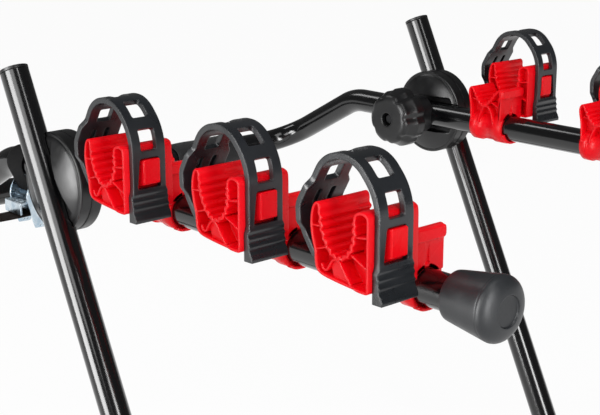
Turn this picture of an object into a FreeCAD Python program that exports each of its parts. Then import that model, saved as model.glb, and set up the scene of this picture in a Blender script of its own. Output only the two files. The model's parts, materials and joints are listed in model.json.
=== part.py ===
import FreeCAD, Part
import math
import os

from FreeCAD import Vector

# Strap-on car rack for three bikes: two bent tube frames joined by a pair of clamping hubs.
# The hub axis runs along X, the arms point along -Y away from the car, +Z is up.
# Pieces are drawn about the middle of the hub axis and shifted to the lower bar when written.

# Tubes
TUBE_D = 25.0
TUBE_WALL = 1.5
ARM_X = 220.0
HUB_STEP = 32.0
LEAN_DEG = 26.0
UPRIGHT_TOP = 101.0
UPRIGHT_LEG = 430.0
LOWER_BEND_R = 60.0
ARM_REACH = 466.0
REAR_STRAIGHT = 106.0
REAR_RUN_Y = 115.0
REAR_DROP = 63.0
REAR_BEND_R = 57.0
BAR_BEND_R = 42.0
JOINER_LEN = 90.0
FIT_GAP = 0.05
SEAT_GAP = 0.3

# Rubber end caps, plugs and sleeves
CAP_GRIP = 38.0
CAP_MOUTH_R = 17.0
CAP_MAX_R = 22.3
CAP_TAPER_LEN = 29.0
CAP_FACE_LEN = 19.0
CAP_FACE_STEPS = 4
CAP_RECESS_R = 8.5
CAP_RECESS_DEPTH = 2.65
PLUG_DEPTH = 18.0
PLUG_HEAD = 2.5
FOAM_R = 17.5
FOAM_LEN = 90.0
FOAM_CENTRE_X = 92.0
BUMPER_R = 21.0
BUMPER_LEN = 130.0
BUMPER_CENTRE_X = 118.0

# Clamping hub
DISC_R = 43.5
DISC_RIM = 9.5
DISC_STEP = 3.0
DISC_CREST = 5.5
DISC_CREST_R = 14.0
DISC_SWELL = 0.74
CHANNEL_HALF = 18.5
CHANNEL_FLOOR = 3.0
DISC_GAP = 0.3
TOOTH_COUNT = 24
TOOTH_DEPTH = 1.6
TOOTH_IN_R = 22.0
TOOTH_OUT_R = 37.0
TOOTH_SPREAD = 0.84
SADDLE_R = 20.0
SADDLE_FACE = 8.5
SADDLE_BACK = 30.5
SADDLE_EDGE = 1.5
WASHER_T = 1.5
WASHER_R = 14.0
KNOB_R = 30.5
KNOB_FRONT_R = 26.5
KNOB_LEN = 28.0
KNOB_RIM = 12.0
KNOB_LOBES = 7
KNOB_FLUTE_R = 9.0
KNOB_FLUTE_DEPTH = 3.0
KNOB_TURN = 0.35
KNOB_EDGE = 5.0
KNOB_WELL_R = 6.5
KNOB_WELL_DEPTH = 9.0
EDGE_SAG = 0.3
BOLT_R = 4.0
BOLT_HEAD_LEN = 5.0
INSERT_R = 7.0
INSERT_LEN = 8.0

# Cradles, drawn about the arm's axis: u outboard, v outward along the arm, w up. The first on each
# arm stands off the hub, the next two are set back from the arm's end
FIRST_LEFT = 131.0
FIRST_RIGHT = 99.0
NEXT_LEFT = (202.0, 80.0)
NEXT_RIGHT = (230.0, 108.0)
HIGH_IN_U = 17.0
HIGH_OUT_U = 62.0
HIGH_WALL_V = 24.5
HIGH_TOP_W = 60.5
SHELL_T = 2.2
LINER_T = 1.9
WEB_T = 1.4
END_WALL = 5.0
RIB_DEPTH = 1.4
HIGH_RIBS = 15
LOW_RIBS = 9
LOW_IN_U = -16.0
LOW_TOP_W = 40.0
LOW_OUT_V = 13.2
LOW_CAR_V = -26.0
LOW_LEAN = 2.0
LOW_BELLY = 8.0
LOW_POCKET = 9.0
LOW_FOOT_W = 2.0
CLAMP_R = 16.0
CLAW_V = 21.0
CLAW_HALF_X = 11.0
COLLAR_BACK = 2.0
COLLAR_RIM = 9.0
COLLAR_WAIST = 1.4
LIP_OUT = 2.2
LIP_H = 5.0
GROOVE_W = 3.0
GROOVE_DEPTH = 1.6
GROOVE_TOP = 31.0
PEG_U = 40.0
PEG_W = 39.0
PEG_H = 22.5
PEG_SLOPE = 3.2
PEG_TOP_WIDTH = 15.5
PEG_BASE_WIDTH = 21.0
PEG_OUT = 6.0

# Outlines of the two V seats in (v, w): the inside of each V and the outside of the high one
HIGH_SEAT = (
    (-22, 58), (-20, 49), (-16.5, 39), (-11.5, 31), (-5, 27.3),
    (3, 27.8), (9.5, 33), (13, 42), (13.5, 52), (12, 58),
)
LOW_SEAT = ((-21.5, 37), (-18.5, 29.5), (-13, 23.5), (-7, 21), (-1, 23.5), (4.5, 30), (7, 37))
HIGH_SKIN = (
    (-24, 60.5), (-27, 50), (-28, 40.5), (-25, 31), (-21.5, 24), (-17, 14),
    (10, 13.5), (11.5, 9), (24.5, 9), (24.5, 58.5), (23.5, 60.5),
)
SEAT_APEX = (-2.0, 26.0)
APEX_FEET = ((-14.0, 14.0), (9.0, 13.0))
LOW_APEX = (-7.0, 21.0)
LOW_FEET = ((-20.0, LOW_FOOT_W), (5.0, LOW_FOOT_W))
FOOT_COVER = ((-25, 31), (-13, 30), (-2, 26), (-14, 14), (-17, 14), (-21.5, 24))
COVER_T = 3.0
WEB_ROOT = (-3.5, 43.0)
WEB_ANGLES = (158, 188, 215, 318, 345, 12)

# Rubber ladder straps
STRAP_T = 4.4
STRAP_WIDTH = 30.0
STRAP_U = 42.0
STRAP_TOP_W = 91.5
STRAP_TURN_V = -29.0
STRAP_HEEL_V = -39.5
STRAP_HEEL_W = 37.0
STRAP_BACK_V = -40.5
STRAP_BACK_DROP = 36.5
STRAP_CREST_V = -19.5
STRAP_CREST_RUN = 20.0
STRAP_SHOULDER_DROP = 21.5
STRAP_TURN_R = 5.0
STRAP_HEEL_R = 9.0
STRAP_BACK_R = 12.0
STRAP_CREST_R = 24.0
STRAP_SHOULDER_R = 36.0
STRAP_SPLIT_V = 2.0
STRAP_CUT = 0.1
STRAP_BEAD_R = 3.3
STRAP_BEAD_V = -14.6
STRAP_BEAD_W = 22.6
WINDOW_WIDTH = 13.5
WINDOW_LEN = 15.5
WINDOW_PITCH = 25.0
WINDOW_COUNT = 4
WINDOW_STEP = 1.0
PAD_WIDTH = 38.0
PAD_DROP = 26.5
PAD_LEN = 24.0
PAD_SHOULDER = 7.0
PAD_SLOT_W = 3.0
PAD_SLOT_LEN = 11.0
PAD_SLOT_U = 6.0
TAB_TOP_W = 27.0
TAB_BOTTOM_W = 3.0
TAB_WIDTH = 33.0
TAB_T = 8.5
TAB_LIP = 4.0
TAB_RIDGES = 4
RIDGE_RISE = 0.8
RIDGE_GROW = 0.3
PEG_CLEAR = 1.0

# Side strap with cam buckle on the left arm
WEB_WIDTH = 25.0
WEB_THICK = 1.6
LOOP_Y = 84.0
LOOP_CLEAR = 0.35
BUCKLE_DROP = 23.0
BUCKLE_H = 42.0
BUCKLE_BAR_R = 2.9
BUCKLE_PLATE = 1.6
BUCKLE_INSIDE = 26.5
BUCKLE_BACK_X = 14.0
BUCKLE_FRONT_X = 12.0
BUCKLE_EAR = 8.0
BUCKLE_FOOT = 6.0
BUCKLE_TOE = 4.0
BUCKLE_HOLE_R = 3.0
BUCKLE_HOLE_DROP = 4.0
RIVET_HOLE_R = 2.2
RIVET_DROP = 24.0
CAM_DROP = 16.0
CAM_R = 6.5
CAM_LEVER = 16.0
CAM_PLATE = 2.0
CAM_RISE = 3.5
CAM_LIP_DROP = 6.0
CAM_PIN_R = 2.2
CAM_GAP = 0.06
LOOP_FOOT_R = 3.0
SIDE_RUN = 50.0
SIDE_TAIL = 8.0
HOOK_BAR_R = 2.5
HOOK_BAR_OVER = 3.0
HOOK_WIDTH = 20.0
HOOK_T = 2.4
HOOK_REACH = 24.0
HOOK_RISE = 24.0
HOOK_RETURN = 16.0
HOOK_BEND_R = 8.0

LEAN = math.radians(LEAN_DEG)
TUBE_R = TUBE_D / 2
BORE_R = TUBE_R - TUBE_WALL
UPRIGHT_X = ARM_X + HUB_STEP
CAP_START = ARM_REACH - CAP_GRIP
PAD_HIGH_W = STRAP_TOP_W - PAD_DROP
PAD_LOW_W = PAD_HIGH_W - PAD_LEN
SIDE_WEB_Z = -BUCKLE_DROP - CAM_DROP - CAM_R - SEAT_GAP - WEB_THICK
HALF_STEP = HUB_STEP / 2
DOWN = Vector(0, -math.sin(LEAN), -math.cos(LEAN))
HUB = Vector(0, 0, 0) - DOWN * UPRIGHT_LEG
X_AXIS = Vector(1, 0, 0)
Y_AXIS = Vector(0, 1, 0)
ORIGIN = Vector(0, 0, 0)
REAR_CORNER = Vector(ARM_X, REAR_STRAIGHT, 0)
BAR_CORNER = Vector(ARM_X, REAR_STRAIGHT + REAR_RUN_Y, -REAR_DROP)


def rod(centre, direction, radius, length):
    """Cylinder that starts at a centre and runs along a direction."""
    return Part.makeCylinder(radius, length, centre, direction)


def ring(centre, direction, outer, inner, length):
    return rod(centre, direction, outer, length).cut(rod(centre, direction, inner, length))


def box(x0, x1, y0, y1, z0, z1):
    return Part.makeBox(x1 - x0, y1 - y0, z1 - z0, Vector(x0, y0, z0))


def mirrored(shape):
    """The same piece on the other side of the rack."""
    return shape.mirror(ORIGIN, X_AXIS)


def bent_path(points, radii):
    """Straight runs joined by tangent arcs, one radius for each inner point."""
    edges = []
    start = points[0]
    for i, radius in enumerate(radii, 1):
        corner = points[i]
        back = (points[i - 1] - corner).normalize()
        ahead = (points[i + 1] - corner).normalize()
        half = back.getAngle(ahead) / 2
        tangent = radius / math.tan(half)
        middle = (back + ahead).normalize() * (radius / math.sin(half) - radius)
        first = corner + back * tangent
        last = corner + ahead * tangent
        edges.append(Part.LineSegment(start, first).toShape())
        edges.append(Part.Arc(first, corner + middle, last).toShape())
        start = last
    edges.append(Part.LineSegment(start, points[-1]).toShape())
    return Part.Wire(edges)


def swept(path, radius):
    start = path.Edges[0].Vertexes[0].Point
    along = path.Edges[0].tangentAt(path.Edges[0].FirstParameter)
    circle = Part.Wire(Part.makeCircle(radius, start, along))
    return path.makePipeShell([circle], True, False)


def bent_tube(points, radii):
    path = bent_path(points, radii)
    return swept(path, TUBE_R).cut(swept(path, BORE_R))


def polygon_face(points):
    wire = Part.makePolygon(points + [points[0]])
    return Part.Face(wire)


def profile(points, u_from, length):
    """Extrude an outline given as (v, w) pairs along the cradle's u direction."""
    face = polygon_face([Vector(u_from, -v, w) for v, w in points])
    return face.extrude(Vector(length, 0, 0))


def write(name, shape):
    placed = shape.copy()
    placed.translate(HUB)
    placed.exportStep("parts/" + name + ".step")
    print(name, len(placed.Solids), round(placed.Volume))


# Lower frame: two leaning uprights that meet in a bar along the bottom
def lower_half():
    top = Vector(UPRIGHT_X, 0, 0) - DOWN * UPRIGHT_TOP
    corner = Vector(UPRIGHT_X, 0, 0) + DOWN * UPRIGHT_LEG
    tube = bent_tube([top, corner, Vector(0, corner.y, corner.z)], [LOWER_BEND_R])
    bolt_hole = rod(Vector(UPRIGHT_X - TUBE_D, 0, 0), X_AXIS, INSERT_R + FIT_GAP, TUBE_D)
    return tube.cut(bolt_hole)


def top_plug():
    """Plastic plug whose head covers the open end of an upright."""
    top = Vector(UPRIGHT_X, 0, 0) - DOWN * UPRIGHT_TOP
    shank = rod(top, DOWN, BORE_R - FIT_GAP, PLUG_DEPTH)
    head = rod(top - DOWN * PLUG_HEAD, DOWN, TUBE_R, PLUG_HEAD)
    return head.fuse(shank)


def bar_joiner(centre):
    """Sleeve inside the two tube ends that meet in the middle of a bar."""
    start = centre - X_AXIS * (JOINER_LEN / 2)
    return ring(start, X_AXIS, BORE_R - FIT_GAP, BORE_R - TUBE_WALL, JOINER_LEN)


def bar_sleeve(centre, outer, length):
    """Soft sleeve on a bar."""
    return ring(centre - X_AXIS * (length / 2), X_AXIS, outer, TUBE_R + SEAT_GAP, length)


# Arm frame: two arms that dip towards the car and meet in the padded bar
def arm_half():
    tip = Vector(ARM_X, -ARM_REACH, 0)
    middle = Vector(0, BAR_CORNER.y, BAR_CORNER.z)
    tube = bent_tube([tip, REAR_CORNER, BAR_CORNER, middle], [REAR_BEND_R, BAR_BEND_R])
    bolt_hole = rod(Vector(ARM_X - TUBE_D, 0, 0), X_AXIS, BOLT_R + FIT_GAP, 2 * TUBE_D)
    return tube.cut(bolt_hole)


def end_cap():
    """Tapered rubber cap with a domed face and a plain round recess."""
    mouth = CAP_START
    shoulder = mouth + CAP_TAPER_LEN
    tip = shoulder + CAP_FACE_LEN
    outline = [Vector(0, mouth, 0), Vector(CAP_MOUTH_R, mouth, 0)]
    for i in range(CAP_FACE_STEPS + 1):
        a = math.pi / 2 * i / CAP_FACE_STEPS
        outline.append(Vector(CAP_MAX_R * math.cos(a), shoulder + CAP_FACE_LEN * math.sin(a), 0))
    outline[-1] = Vector(0, tip, 0)
    body = polygon_face(outline).revolve(ORIGIN, Y_AXIS, 360)
    body = body.mirror(ORIGIN, Y_AXIS)
    body.translate(Vector(ARM_X, 0, 0))
    socket = rod(Vector(ARM_X, -mouth, 0), -Y_AXIS, TUBE_R + FIT_GAP, ARM_REACH - mouth + FIT_GAP)
    recess = rod(Vector(ARM_X, -tip, 0), Y_AXIS, CAP_RECESS_R, CAP_RECESS_DEPTH)
    return body.cut(socket).cut(recess)


# Clamping hub on the right-hand side, from the inside outwards
def teeth(face_x, way):
    """Ring of ratchet teeth that stand on a face and grow deeper away from the axis."""
    wedges = []
    step = 2 * math.pi / TOOTH_COUNT
    for i in range(TOOTH_COUNT):
        middle = i * step
        corners = []
        for radius in (TOOTH_IN_R, TOOTH_OUT_R):
            for side in (-1, 1):
                a = middle + side * step * TOOTH_SPREAD / 2
                corners.append(Vector(face_x, radius * math.cos(a), radius * math.sin(a)))
        crest = []
        for r in (TOOTH_IN_R, TOOTH_OUT_R):
            height = TOOTH_DEPTH * r / TOOTH_OUT_R
            crest.append(Vector(face_x + way * height, r * math.cos(middle), r * math.sin(middle)))
        a0, b0, a1, b1 = corners
        faces = [
            polygon_face([a0, b0, b1, a1]),
            polygon_face([a0, crest[0], crest[1], a1]),
            polygon_face([b0, b1, crest[1], crest[0]]),
            polygon_face([a0, b0, crest[0]]),
            polygon_face([a1, crest[1], b1]),
        ]
        wedge = Part.Solid(Part.Shell(faces))
        if wedge.Volume < 0:
            wedge.reverse()
        wedges.append(wedge)
    return wedges


def hub_disc(tube_x, way, tube_dir):
    """Domed disc with a channel for its tube and teeth on the face towards the other disc."""
    face_x = tube_x + way * (HALF_STEP - DISC_GAP / 2)
    rim_x = face_x - way * DISC_RIM
    crest_x = tube_x - way * DISC_CREST
    dome_r = DISC_R - DISC_STEP
    swell = Vector(rim_x + (crest_x - rim_x) * DISC_SWELL, (DISC_CREST_R + 3 * dome_r) / 4, 0)
    outline = [
        Vector(face_x, 0, 0),
        Vector(face_x, DISC_R, 0),
        Vector(rim_x, DISC_R, 0),
        Vector(rim_x, dome_r, 0),
        swell,
        Vector(crest_x, DISC_CREST_R, 0),
        Vector(crest_x, 0, 0),
    ]
    disc = polygon_face(outline).revolve(ORIGIN, X_AXIS, 360)
    reach = DISC_R * 2
    groove = rod(Vector(tube_x, 0, 0) - tube_dir * reach, tube_dir, TUBE_R + FIT_GAP, 2 * reach)
    channel = box(-TUBE_D, TUBE_D, -CHANNEL_HALF, CHANNEL_HALF, -reach, reach)
    channel.translate(Vector(tube_x + way * (CHANNEL_FLOOR - TUBE_D), 0, 0))
    channel.rotate(ORIGIN, X_AXIS, math.degrees(math.atan2(-tube_dir.y, tube_dir.z)))
    well = ring(Vector(face_x, 0, 0), X_AXIS * -way, TOOTH_OUT_R, TOOTH_IN_R, TOOTH_DEPTH)
    bolt_way = rod(Vector(tube_x - HUB_STEP, 0, 0), X_AXIS, BOLT_R + SEAT_GAP, 2 * HUB_STEP)
    disc = disc.cut([groove, channel, well, bolt_way])
    return disc.fuse(teeth(face_x - way * TOOTH_DEPTH, way)).removeSplitter()


def saddle():
    """Thick round block that presses on the inner side of the arm."""
    start = Vector(ARM_X - SADDLE_BACK, 0, 0)
    body = rod(start, X_AXIS, SADDLE_R, SADDLE_BACK - SADDLE_FACE)
    rim = [e for e in body.Edges if e.Closed and e.CenterOfMass.x < start.x + 1]
    body = body.makeChamfer(SADDLE_EDGE, rim)
    groove = rod(Vector(ARM_X, -SADDLE_R * 2, 0), Y_AXIS, TUBE_R + FIT_GAP, SADDLE_R * 4)
    return body.cut(groove).cut(rod(start, X_AXIS, BOLT_R + SEAT_GAP, SADDLE_BACK))


def washer():
    start = Vector(ARM_X - SADDLE_BACK - WASHER_T, 0, 0)
    return ring(start, X_AXIS, WASHER_R, BOLT_R + FIT_GAP, WASHER_T)


def knob():
    """Hand knob that widens to a fluted rim, with a well for the bolt end."""
    back = ARM_X - SADDLE_BACK - WASHER_T
    front = back - KNOB_LEN
    rim = back - KNOB_RIM
    outline = [
        Vector(front, 0, 0),
        Vector(front, KNOB_FRONT_R - KNOB_EDGE, 0),
        Vector(front + KNOB_EDGE * EDGE_SAG, KNOB_FRONT_R - KNOB_EDGE * EDGE_SAG, 0),
        Vector(front + KNOB_EDGE, KNOB_FRONT_R, 0),
        Vector(rim, KNOB_R, 0),
        Vector(back, KNOB_R, 0),
        Vector(back, 0, 0),
    ]
    body = polygon_face(outline).revolve(ORIGIN, X_AXIS, 360)
    cuts = [
        rod(Vector(front, 0, 0), X_AXIS, KNOB_WELL_R, KNOB_WELL_DEPTH),
        rod(Vector(front, 0, 0), X_AXIS, BOLT_R + FIT_GAP, KNOB_LEN),
    ]
    reach = KNOB_R + KNOB_FLUTE_R - KNOB_FLUTE_DEPTH
    for i in range(KNOB_LOBES):
        a = 2 * math.pi * (i + KNOB_TURN) / KNOB_LOBES
        centre = Vector(front, reach * math.cos(a), reach * math.sin(a))
        cuts.append(rod(centre, X_AXIS, KNOB_FLUTE_R, KNOB_LEN))
    return body.cut(cuts)


def hub_bolt():
    """Bolt from the knob's well to the insert inside the upright."""
    start = Vector(ARM_X - SADDLE_BACK - WASHER_T - KNOB_LEN + KNOB_WELL_DEPTH - BOLT_HEAD_LEN, 0, 0)
    length = UPRIGHT_X - TUBE_R + INSERT_LEN - start.x
    return rod(start, X_AXIS, BOLT_R, length)


def hub_insert():
    """Threaded insert in the inner wall of the upright."""
    start = Vector(UPRIGHT_X - math.sqrt(TUBE_R ** 2 - INSERT_R ** 2) + FIT_GAP, 0, 0)
    return ring(start, X_AXIS, INSERT_R, BOLT_R + FIT_GAP, INSERT_LEN)


# Cradle: one red moulding with a low ribbed V on the tube and a high hollow V beside it
def seat_curve(points, ribs, grow):
    """(v, w) points along a V seat: smooth and grown outwards, or zigzag where it has ribs."""
    curve = Part.BSplineCurve()
    curve.interpolate([Vector(0, v, w) for v, w in points])
    count = 2 * ribs + 1
    walk = curve.discretize(count)
    line = []
    for i, p in enumerate(walk):
        before = walk[max(i - 1, 0)]
        after = walk[min(i + 1, count - 1)]
        outward = (after - before).cross(X_AXIS).normalize()
        shift = grow if i % 2 else grow - RIB_DEPTH
        q = p + outward * shift
        line.append((q.y, q.z))
    return line


def seat_space(points, ribs, grow, u_from, length):
    """Everything above a V seat, as a solid to cut away."""
    line = seat_curve(points, ribs, grow)
    above = HIGH_TOP_W + DISC_R
    sky = [(line[-1][0], above), (line[0][0] - 2, above), (line[0][0] - 2, line[0][1] + 2)]
    return profile(line + sky, u_from, length)


def plate_between(start, end, thickness):
    """Thin wall along u through two (v, w) points."""
    a = Vector(0, -start[0], start[1])
    b = Vector(0, -end[0], end[1])
    side = (b - a).cross(X_AXIS).normalize() * (thickness / 2)
    return polygon_face([a - side, b - side, b + side, a + side]).extrude(Vector(HIGH_OUT_U, 0, 0))


def high_support():
    length = HIGH_OUT_U - HIGH_IN_U
    solid = profile(HIGH_SKIN, HIGH_IN_U, length)
    solid = solid.cut(seat_space(HIGH_SEAT, HIGH_RIBS, 0, HIGH_IN_U - 1, length + 2))
    skin = [Vector(HIGH_IN_U + END_WALL, -v, w) for v, w in HIGH_SKIN + HIGH_SKIN[:1]]
    inner = Part.Wire(Part.makePolygon(skin))
    inner = Part.Face(inner.makeOffset2D(-SHELL_T, 2)).extrude(Vector(length, 0, 0))
    liner = seat_space(HIGH_SEAT, HIGH_RIBS // 2, LINER_T + RIB_DEPTH, HIGH_IN_U, length + END_WALL)
    walls = [plate_between(SEAT_APEX, foot, SHELL_T) for foot in APEX_FEET]
    for angle in WEB_ANGLES:
        a = math.radians(angle)
        far = (WEB_ROOT[0] + DISC_R * math.cos(a), WEB_ROOT[1] + DISC_R * math.sin(a))
        walls.append(plate_between(WEB_ROOT, far, WEB_T))
    cover = profile(FOOT_COVER, HIGH_OUT_U - COVER_T, COVER_T)
    return solid.cut(inner.cut([liner, cover] + walls))


def strap_peg():
    """Tapered peg that holds a window of the strap, with a sloping underside to let it off."""
    low = PEG_W - PEG_H / 2
    high = PEG_W + PEG_H / 2
    root = HIGH_WALL_V - SHELL_T / 2
    face = polygon_face([
        Vector(PEG_U - PEG_BASE_WIDTH / 2, -root, low),
        Vector(PEG_U + PEG_BASE_WIDTH / 2, -root, low),
        Vector(PEG_U + PEG_TOP_WIDTH / 2, -root, high),
        Vector(PEG_U - PEG_TOP_WIDTH / 2, -root, high),
    ])
    tip = HIGH_WALL_V + PEG_OUT
    side = [(root, low), (HIGH_WALL_V, low), (tip, low + PEG_SLOPE), (tip, high), (root, high)]
    return face.extrude(Vector(0, root - tip, 0)).common(profile(side, 0, HIGH_OUT_U))


def low_support():
    """Low V over the tube on two splayed legs, drawn down into a collar that grips the tube."""
    outline = [
        (LOW_CAR_V + LOW_LEAN, LOW_TOP_W),
        (LOW_CAR_V, TUBE_R + LOW_BELLY),
        (LOW_CAR_V + LOW_LEAN, 0),
        (LOW_OUT_V, 0),
        (LOW_OUT_V, LOW_TOP_W),
    ]
    length = HIGH_IN_U - LOW_IN_U
    body = profile(outline, LOW_IN_U, length)
    inner = Part.Wire(Part.makePolygon([Vector(LOW_IN_U - 1, -v, w) for v, w in outline + outline[:1]]))
    pocket = Part.Face(inner.makeOffset2D(-SHELL_T, 2)).extrude(Vector(LOW_POCKET + 1, 0, 0))
    liner = seat_space(LOW_SEAT, LOW_RIBS // 2, LINER_T + RIB_DEPTH, LOW_IN_U - 1, LOW_POCKET + 2)
    root = rod(Vector(0, -HIGH_OUT_U, 0), Y_AXIS, CLAMP_R + LINER_T, 2 * HIGH_OUT_U)
    legs = [plate_between(LOW_APEX, foot, SHELL_T) for foot in LOW_FEET]
    for leg in legs:
        leg.translate(Vector(LOW_IN_U, 0, 0))
    body = body.cut(pocket.cut([liner, root] + legs))
    body = body.cut(seat_space(LOW_SEAT, LOW_RIBS, 0, LOW_IN_U - 1, length + 1))
    lip = box(LOW_IN_U, HIGH_IN_U, -LOW_OUT_V - LIP_OUT, -LOW_OUT_V, LOW_TOP_W - LIP_H, LOW_TOP_W)
    groove = box(-GROOVE_W / 2, GROOVE_W / 2, -LOW_OUT_V, -LOW_OUT_V + GROOVE_DEPTH, TUBE_R, GROOVE_TOP)
    return body.fuse(lip).cut(groove)


def collar():
    """Collar round the tube with a rim at each end and a claw that reaches out underneath."""
    start = Vector(0, -LOW_OUT_V, 0)
    length = LOW_OUT_V - LOW_CAR_V - COLLAR_BACK
    whole = rod(start, Y_AXIS, CLAMP_R - COLLAR_WAIST, length)
    near_rim = rod(start, Y_AXIS, CLAMP_R, COLLAR_RIM)
    far_rim = rod(start + Y_AXIS * (length - COLLAR_RIM), Y_AXIS, CLAMP_R, COLLAR_RIM)
    claw = rod(Vector(0, -CLAW_V, 0), Y_AXIS, CLAMP_R, CLAW_V - LOW_OUT_V)
    window = box(-CLAW_HALF_X, CLAW_HALF_X, -CLAW_V, -LOW_OUT_V, -CLAMP_R, -TUBE_R / 2)
    return whole.fuse([near_rim, far_rim, claw.common(window)])


def cradle():
    """Whole moulding about the arm's axis, with the slot that the strap's foot passes through."""
    bore = rod(Vector(0, -CLAW_V - 1, 0), Y_AXIS, TUBE_R + FIT_GAP, 3 * CLAW_V)
    half = STRAP_WIDTH / 2 + SEAT_GAP
    slot = box(
        STRAP_U - half, STRAP_U + half, -STRAP_BEAD_V, -LOW_CAR_V * 2,
        STRAP_BEAD_W - STRAP_T / 2 - SEAT_GAP, STRAP_BEAD_W + STRAP_T / 2 + SEAT_GAP,
    )
    shape = low_support().fuse([high_support(), strap_peg(), collar()]).cut([bore, slot])
    return shape.removeSplitter()


# Strap: a rubber band arched over the high V, hinged where it flexes open
def strap_path():
    """Middle line of the band: foot, shoulder, crest and hanging end."""
    out = HIGH_WALL_V + SEAT_GAP + STRAP_T / 2
    line = [
        (STRAP_BEAD_V, STRAP_BEAD_W),
        (STRAP_TURN_V, STRAP_BEAD_W),
        (STRAP_HEEL_V, STRAP_HEEL_W),
        (STRAP_BACK_V, STRAP_TOP_W - STRAP_BACK_DROP),
        (STRAP_CREST_V, STRAP_TOP_W),
        (out - STRAP_CREST_RUN, STRAP_TOP_W),
        (out, STRAP_TOP_W - STRAP_SHOULDER_DROP),
        (out, TAB_BOTTOM_W),
    ]
    radii = [STRAP_TURN_R, STRAP_HEEL_R, STRAP_BACK_R, STRAP_CREST_R, STRAP_CREST_R, STRAP_SHOULDER_R]
    return bent_path([Vector(STRAP_U, -v, w) for v, w in line], radii)


def strap_band(width):
    path = strap_path()
    start = path.Edges[0].Vertexes[0].Point
    half = Vector(0, 0, STRAP_T / 2)
    side = Vector(width / 2, 0, 0)
    corners = [start - side - half, start + side - half, start + side + half, start - side + half]
    outline = Part.makePolygon(corners + corners[:1])
    return path.makePipeShell([outline], True, False)


def peg_window():
    side = PEG_BASE_WIDTH / 2 + SEAT_GAP
    low = PEG_W - PEG_H / 2 - PEG_CLEAR
    high = PEG_W + PEG_H / 2 + PEG_CLEAR
    return box(PEG_U - side, PEG_U + side, -2 * HIGH_WALL_V, 0, low, high)


def strap_windows():
    """Holes up the hanging end and over the crest, each square to the band."""
    cuts = []
    points = strap_path().discretize(Distance=WINDOW_STEP)
    points.reverse()
    for i in range(1, WINDOW_COUNT + 1):
        index = round((PEG_W - TAB_BOTTOM_W + i * WINDOW_PITCH) / WINDOW_STEP)
        along = points[index + 1] - points[index - 1]
        hole = box(-WINDOW_WIDTH / 2, WINDOW_WIDTH / 2, -STRAP_T, STRAP_T, -WINDOW_LEN / 2, WINDOW_LEN / 2)
        hole.rotate(ORIGIN, X_AXIS, math.degrees(math.atan2(-along.y, along.z)))
        hole.translate(points[index])
        cuts.append(hole)
    return cuts


def strap_tab():
    """Wedge-shaped pull tab with fine ridges at the hanging end."""
    inner = HIGH_WALL_V + SEAT_GAP
    skin = inner + STRAP_T
    outline = [(inner, TAB_BOTTOM_W), (inner, TAB_TOP_W), (skin + RIDGE_RISE, TAB_TOP_W)]
    pitch = (TAB_TOP_W - TAB_BOTTOM_W - 2 * TAB_LIP) / TAB_RIDGES
    for i in range(TAB_RIDGES):
        w = TAB_TOP_W - TAB_LIP / 2 - i * pitch
        outline.append((skin, w))
        outline.append((skin + RIDGE_RISE + RIDGE_GROW * i, w - pitch))
    outline.append((inner + TAB_T, TAB_BOTTOM_W + TAB_LIP))
    outline.append((inner + TAB_T, TAB_BOTTOM_W))
    return profile(outline, STRAP_U - TAB_WIDTH / 2, TAB_WIDTH)


def strap_pieces():
    """The band cut in two beside its crest: the fixed part and the hanging tongue."""
    band = strap_band(STRAP_WIDTH)
    far = 4 * DISC_R
    fixed = band.common(box(0, far, -STRAP_SPLIT_V, far, 0, far))
    tongue = band.common(box(0, far, -far, -STRAP_SPLIT_V - STRAP_CUT, 0, far))
    windows = strap_windows()
    tongue = tongue.fuse(strap_tab()).cut(windows + [peg_window()]).removeSplitter()
    half = PAD_WIDTH / 2
    neck = STRAP_WIDTH / 2
    pad_outline = [
        (-neck, PAD_LOW_W - PAD_SHOULDER),
        (neck, PAD_LOW_W - PAD_SHOULDER),
        (half, PAD_LOW_W),
        (half, PAD_HIGH_W),
        (neck, PAD_HIGH_W + PAD_SHOULDER),
        (-neck, PAD_HIGH_W + PAD_SHOULDER),
        (-half, PAD_HIGH_W),
        (-half, PAD_LOW_W),
    ]
    pad_face = polygon_face([Vector(STRAP_U + u, DISC_R / 2, w) for u, w in pad_outline])
    pad_zone = pad_face.extrude(Vector(0, far, 0))
    bead_start = Vector(STRAP_U - STRAP_WIDTH / 2, -STRAP_BEAD_V, STRAP_BEAD_W)
    bead = rod(bead_start, X_AXIS, STRAP_BEAD_R, STRAP_WIDTH)
    fixed = fixed.fuse([strap_band(PAD_WIDTH).common(pad_zone), bead]).removeSplitter()
    slots = []
    top = PAD_HIGH_W + PAD_SLOT_W / 2
    for side in (-PAD_SLOT_U, PAD_SLOT_U):
        u = STRAP_U + side
        slots.append(box(u - PAD_SLOT_W / 2, u + PAD_SLOT_W / 2, 0, far, top - PAD_SLOT_LEN, top))
    return fixed.cut(slots + windows), tongue


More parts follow.
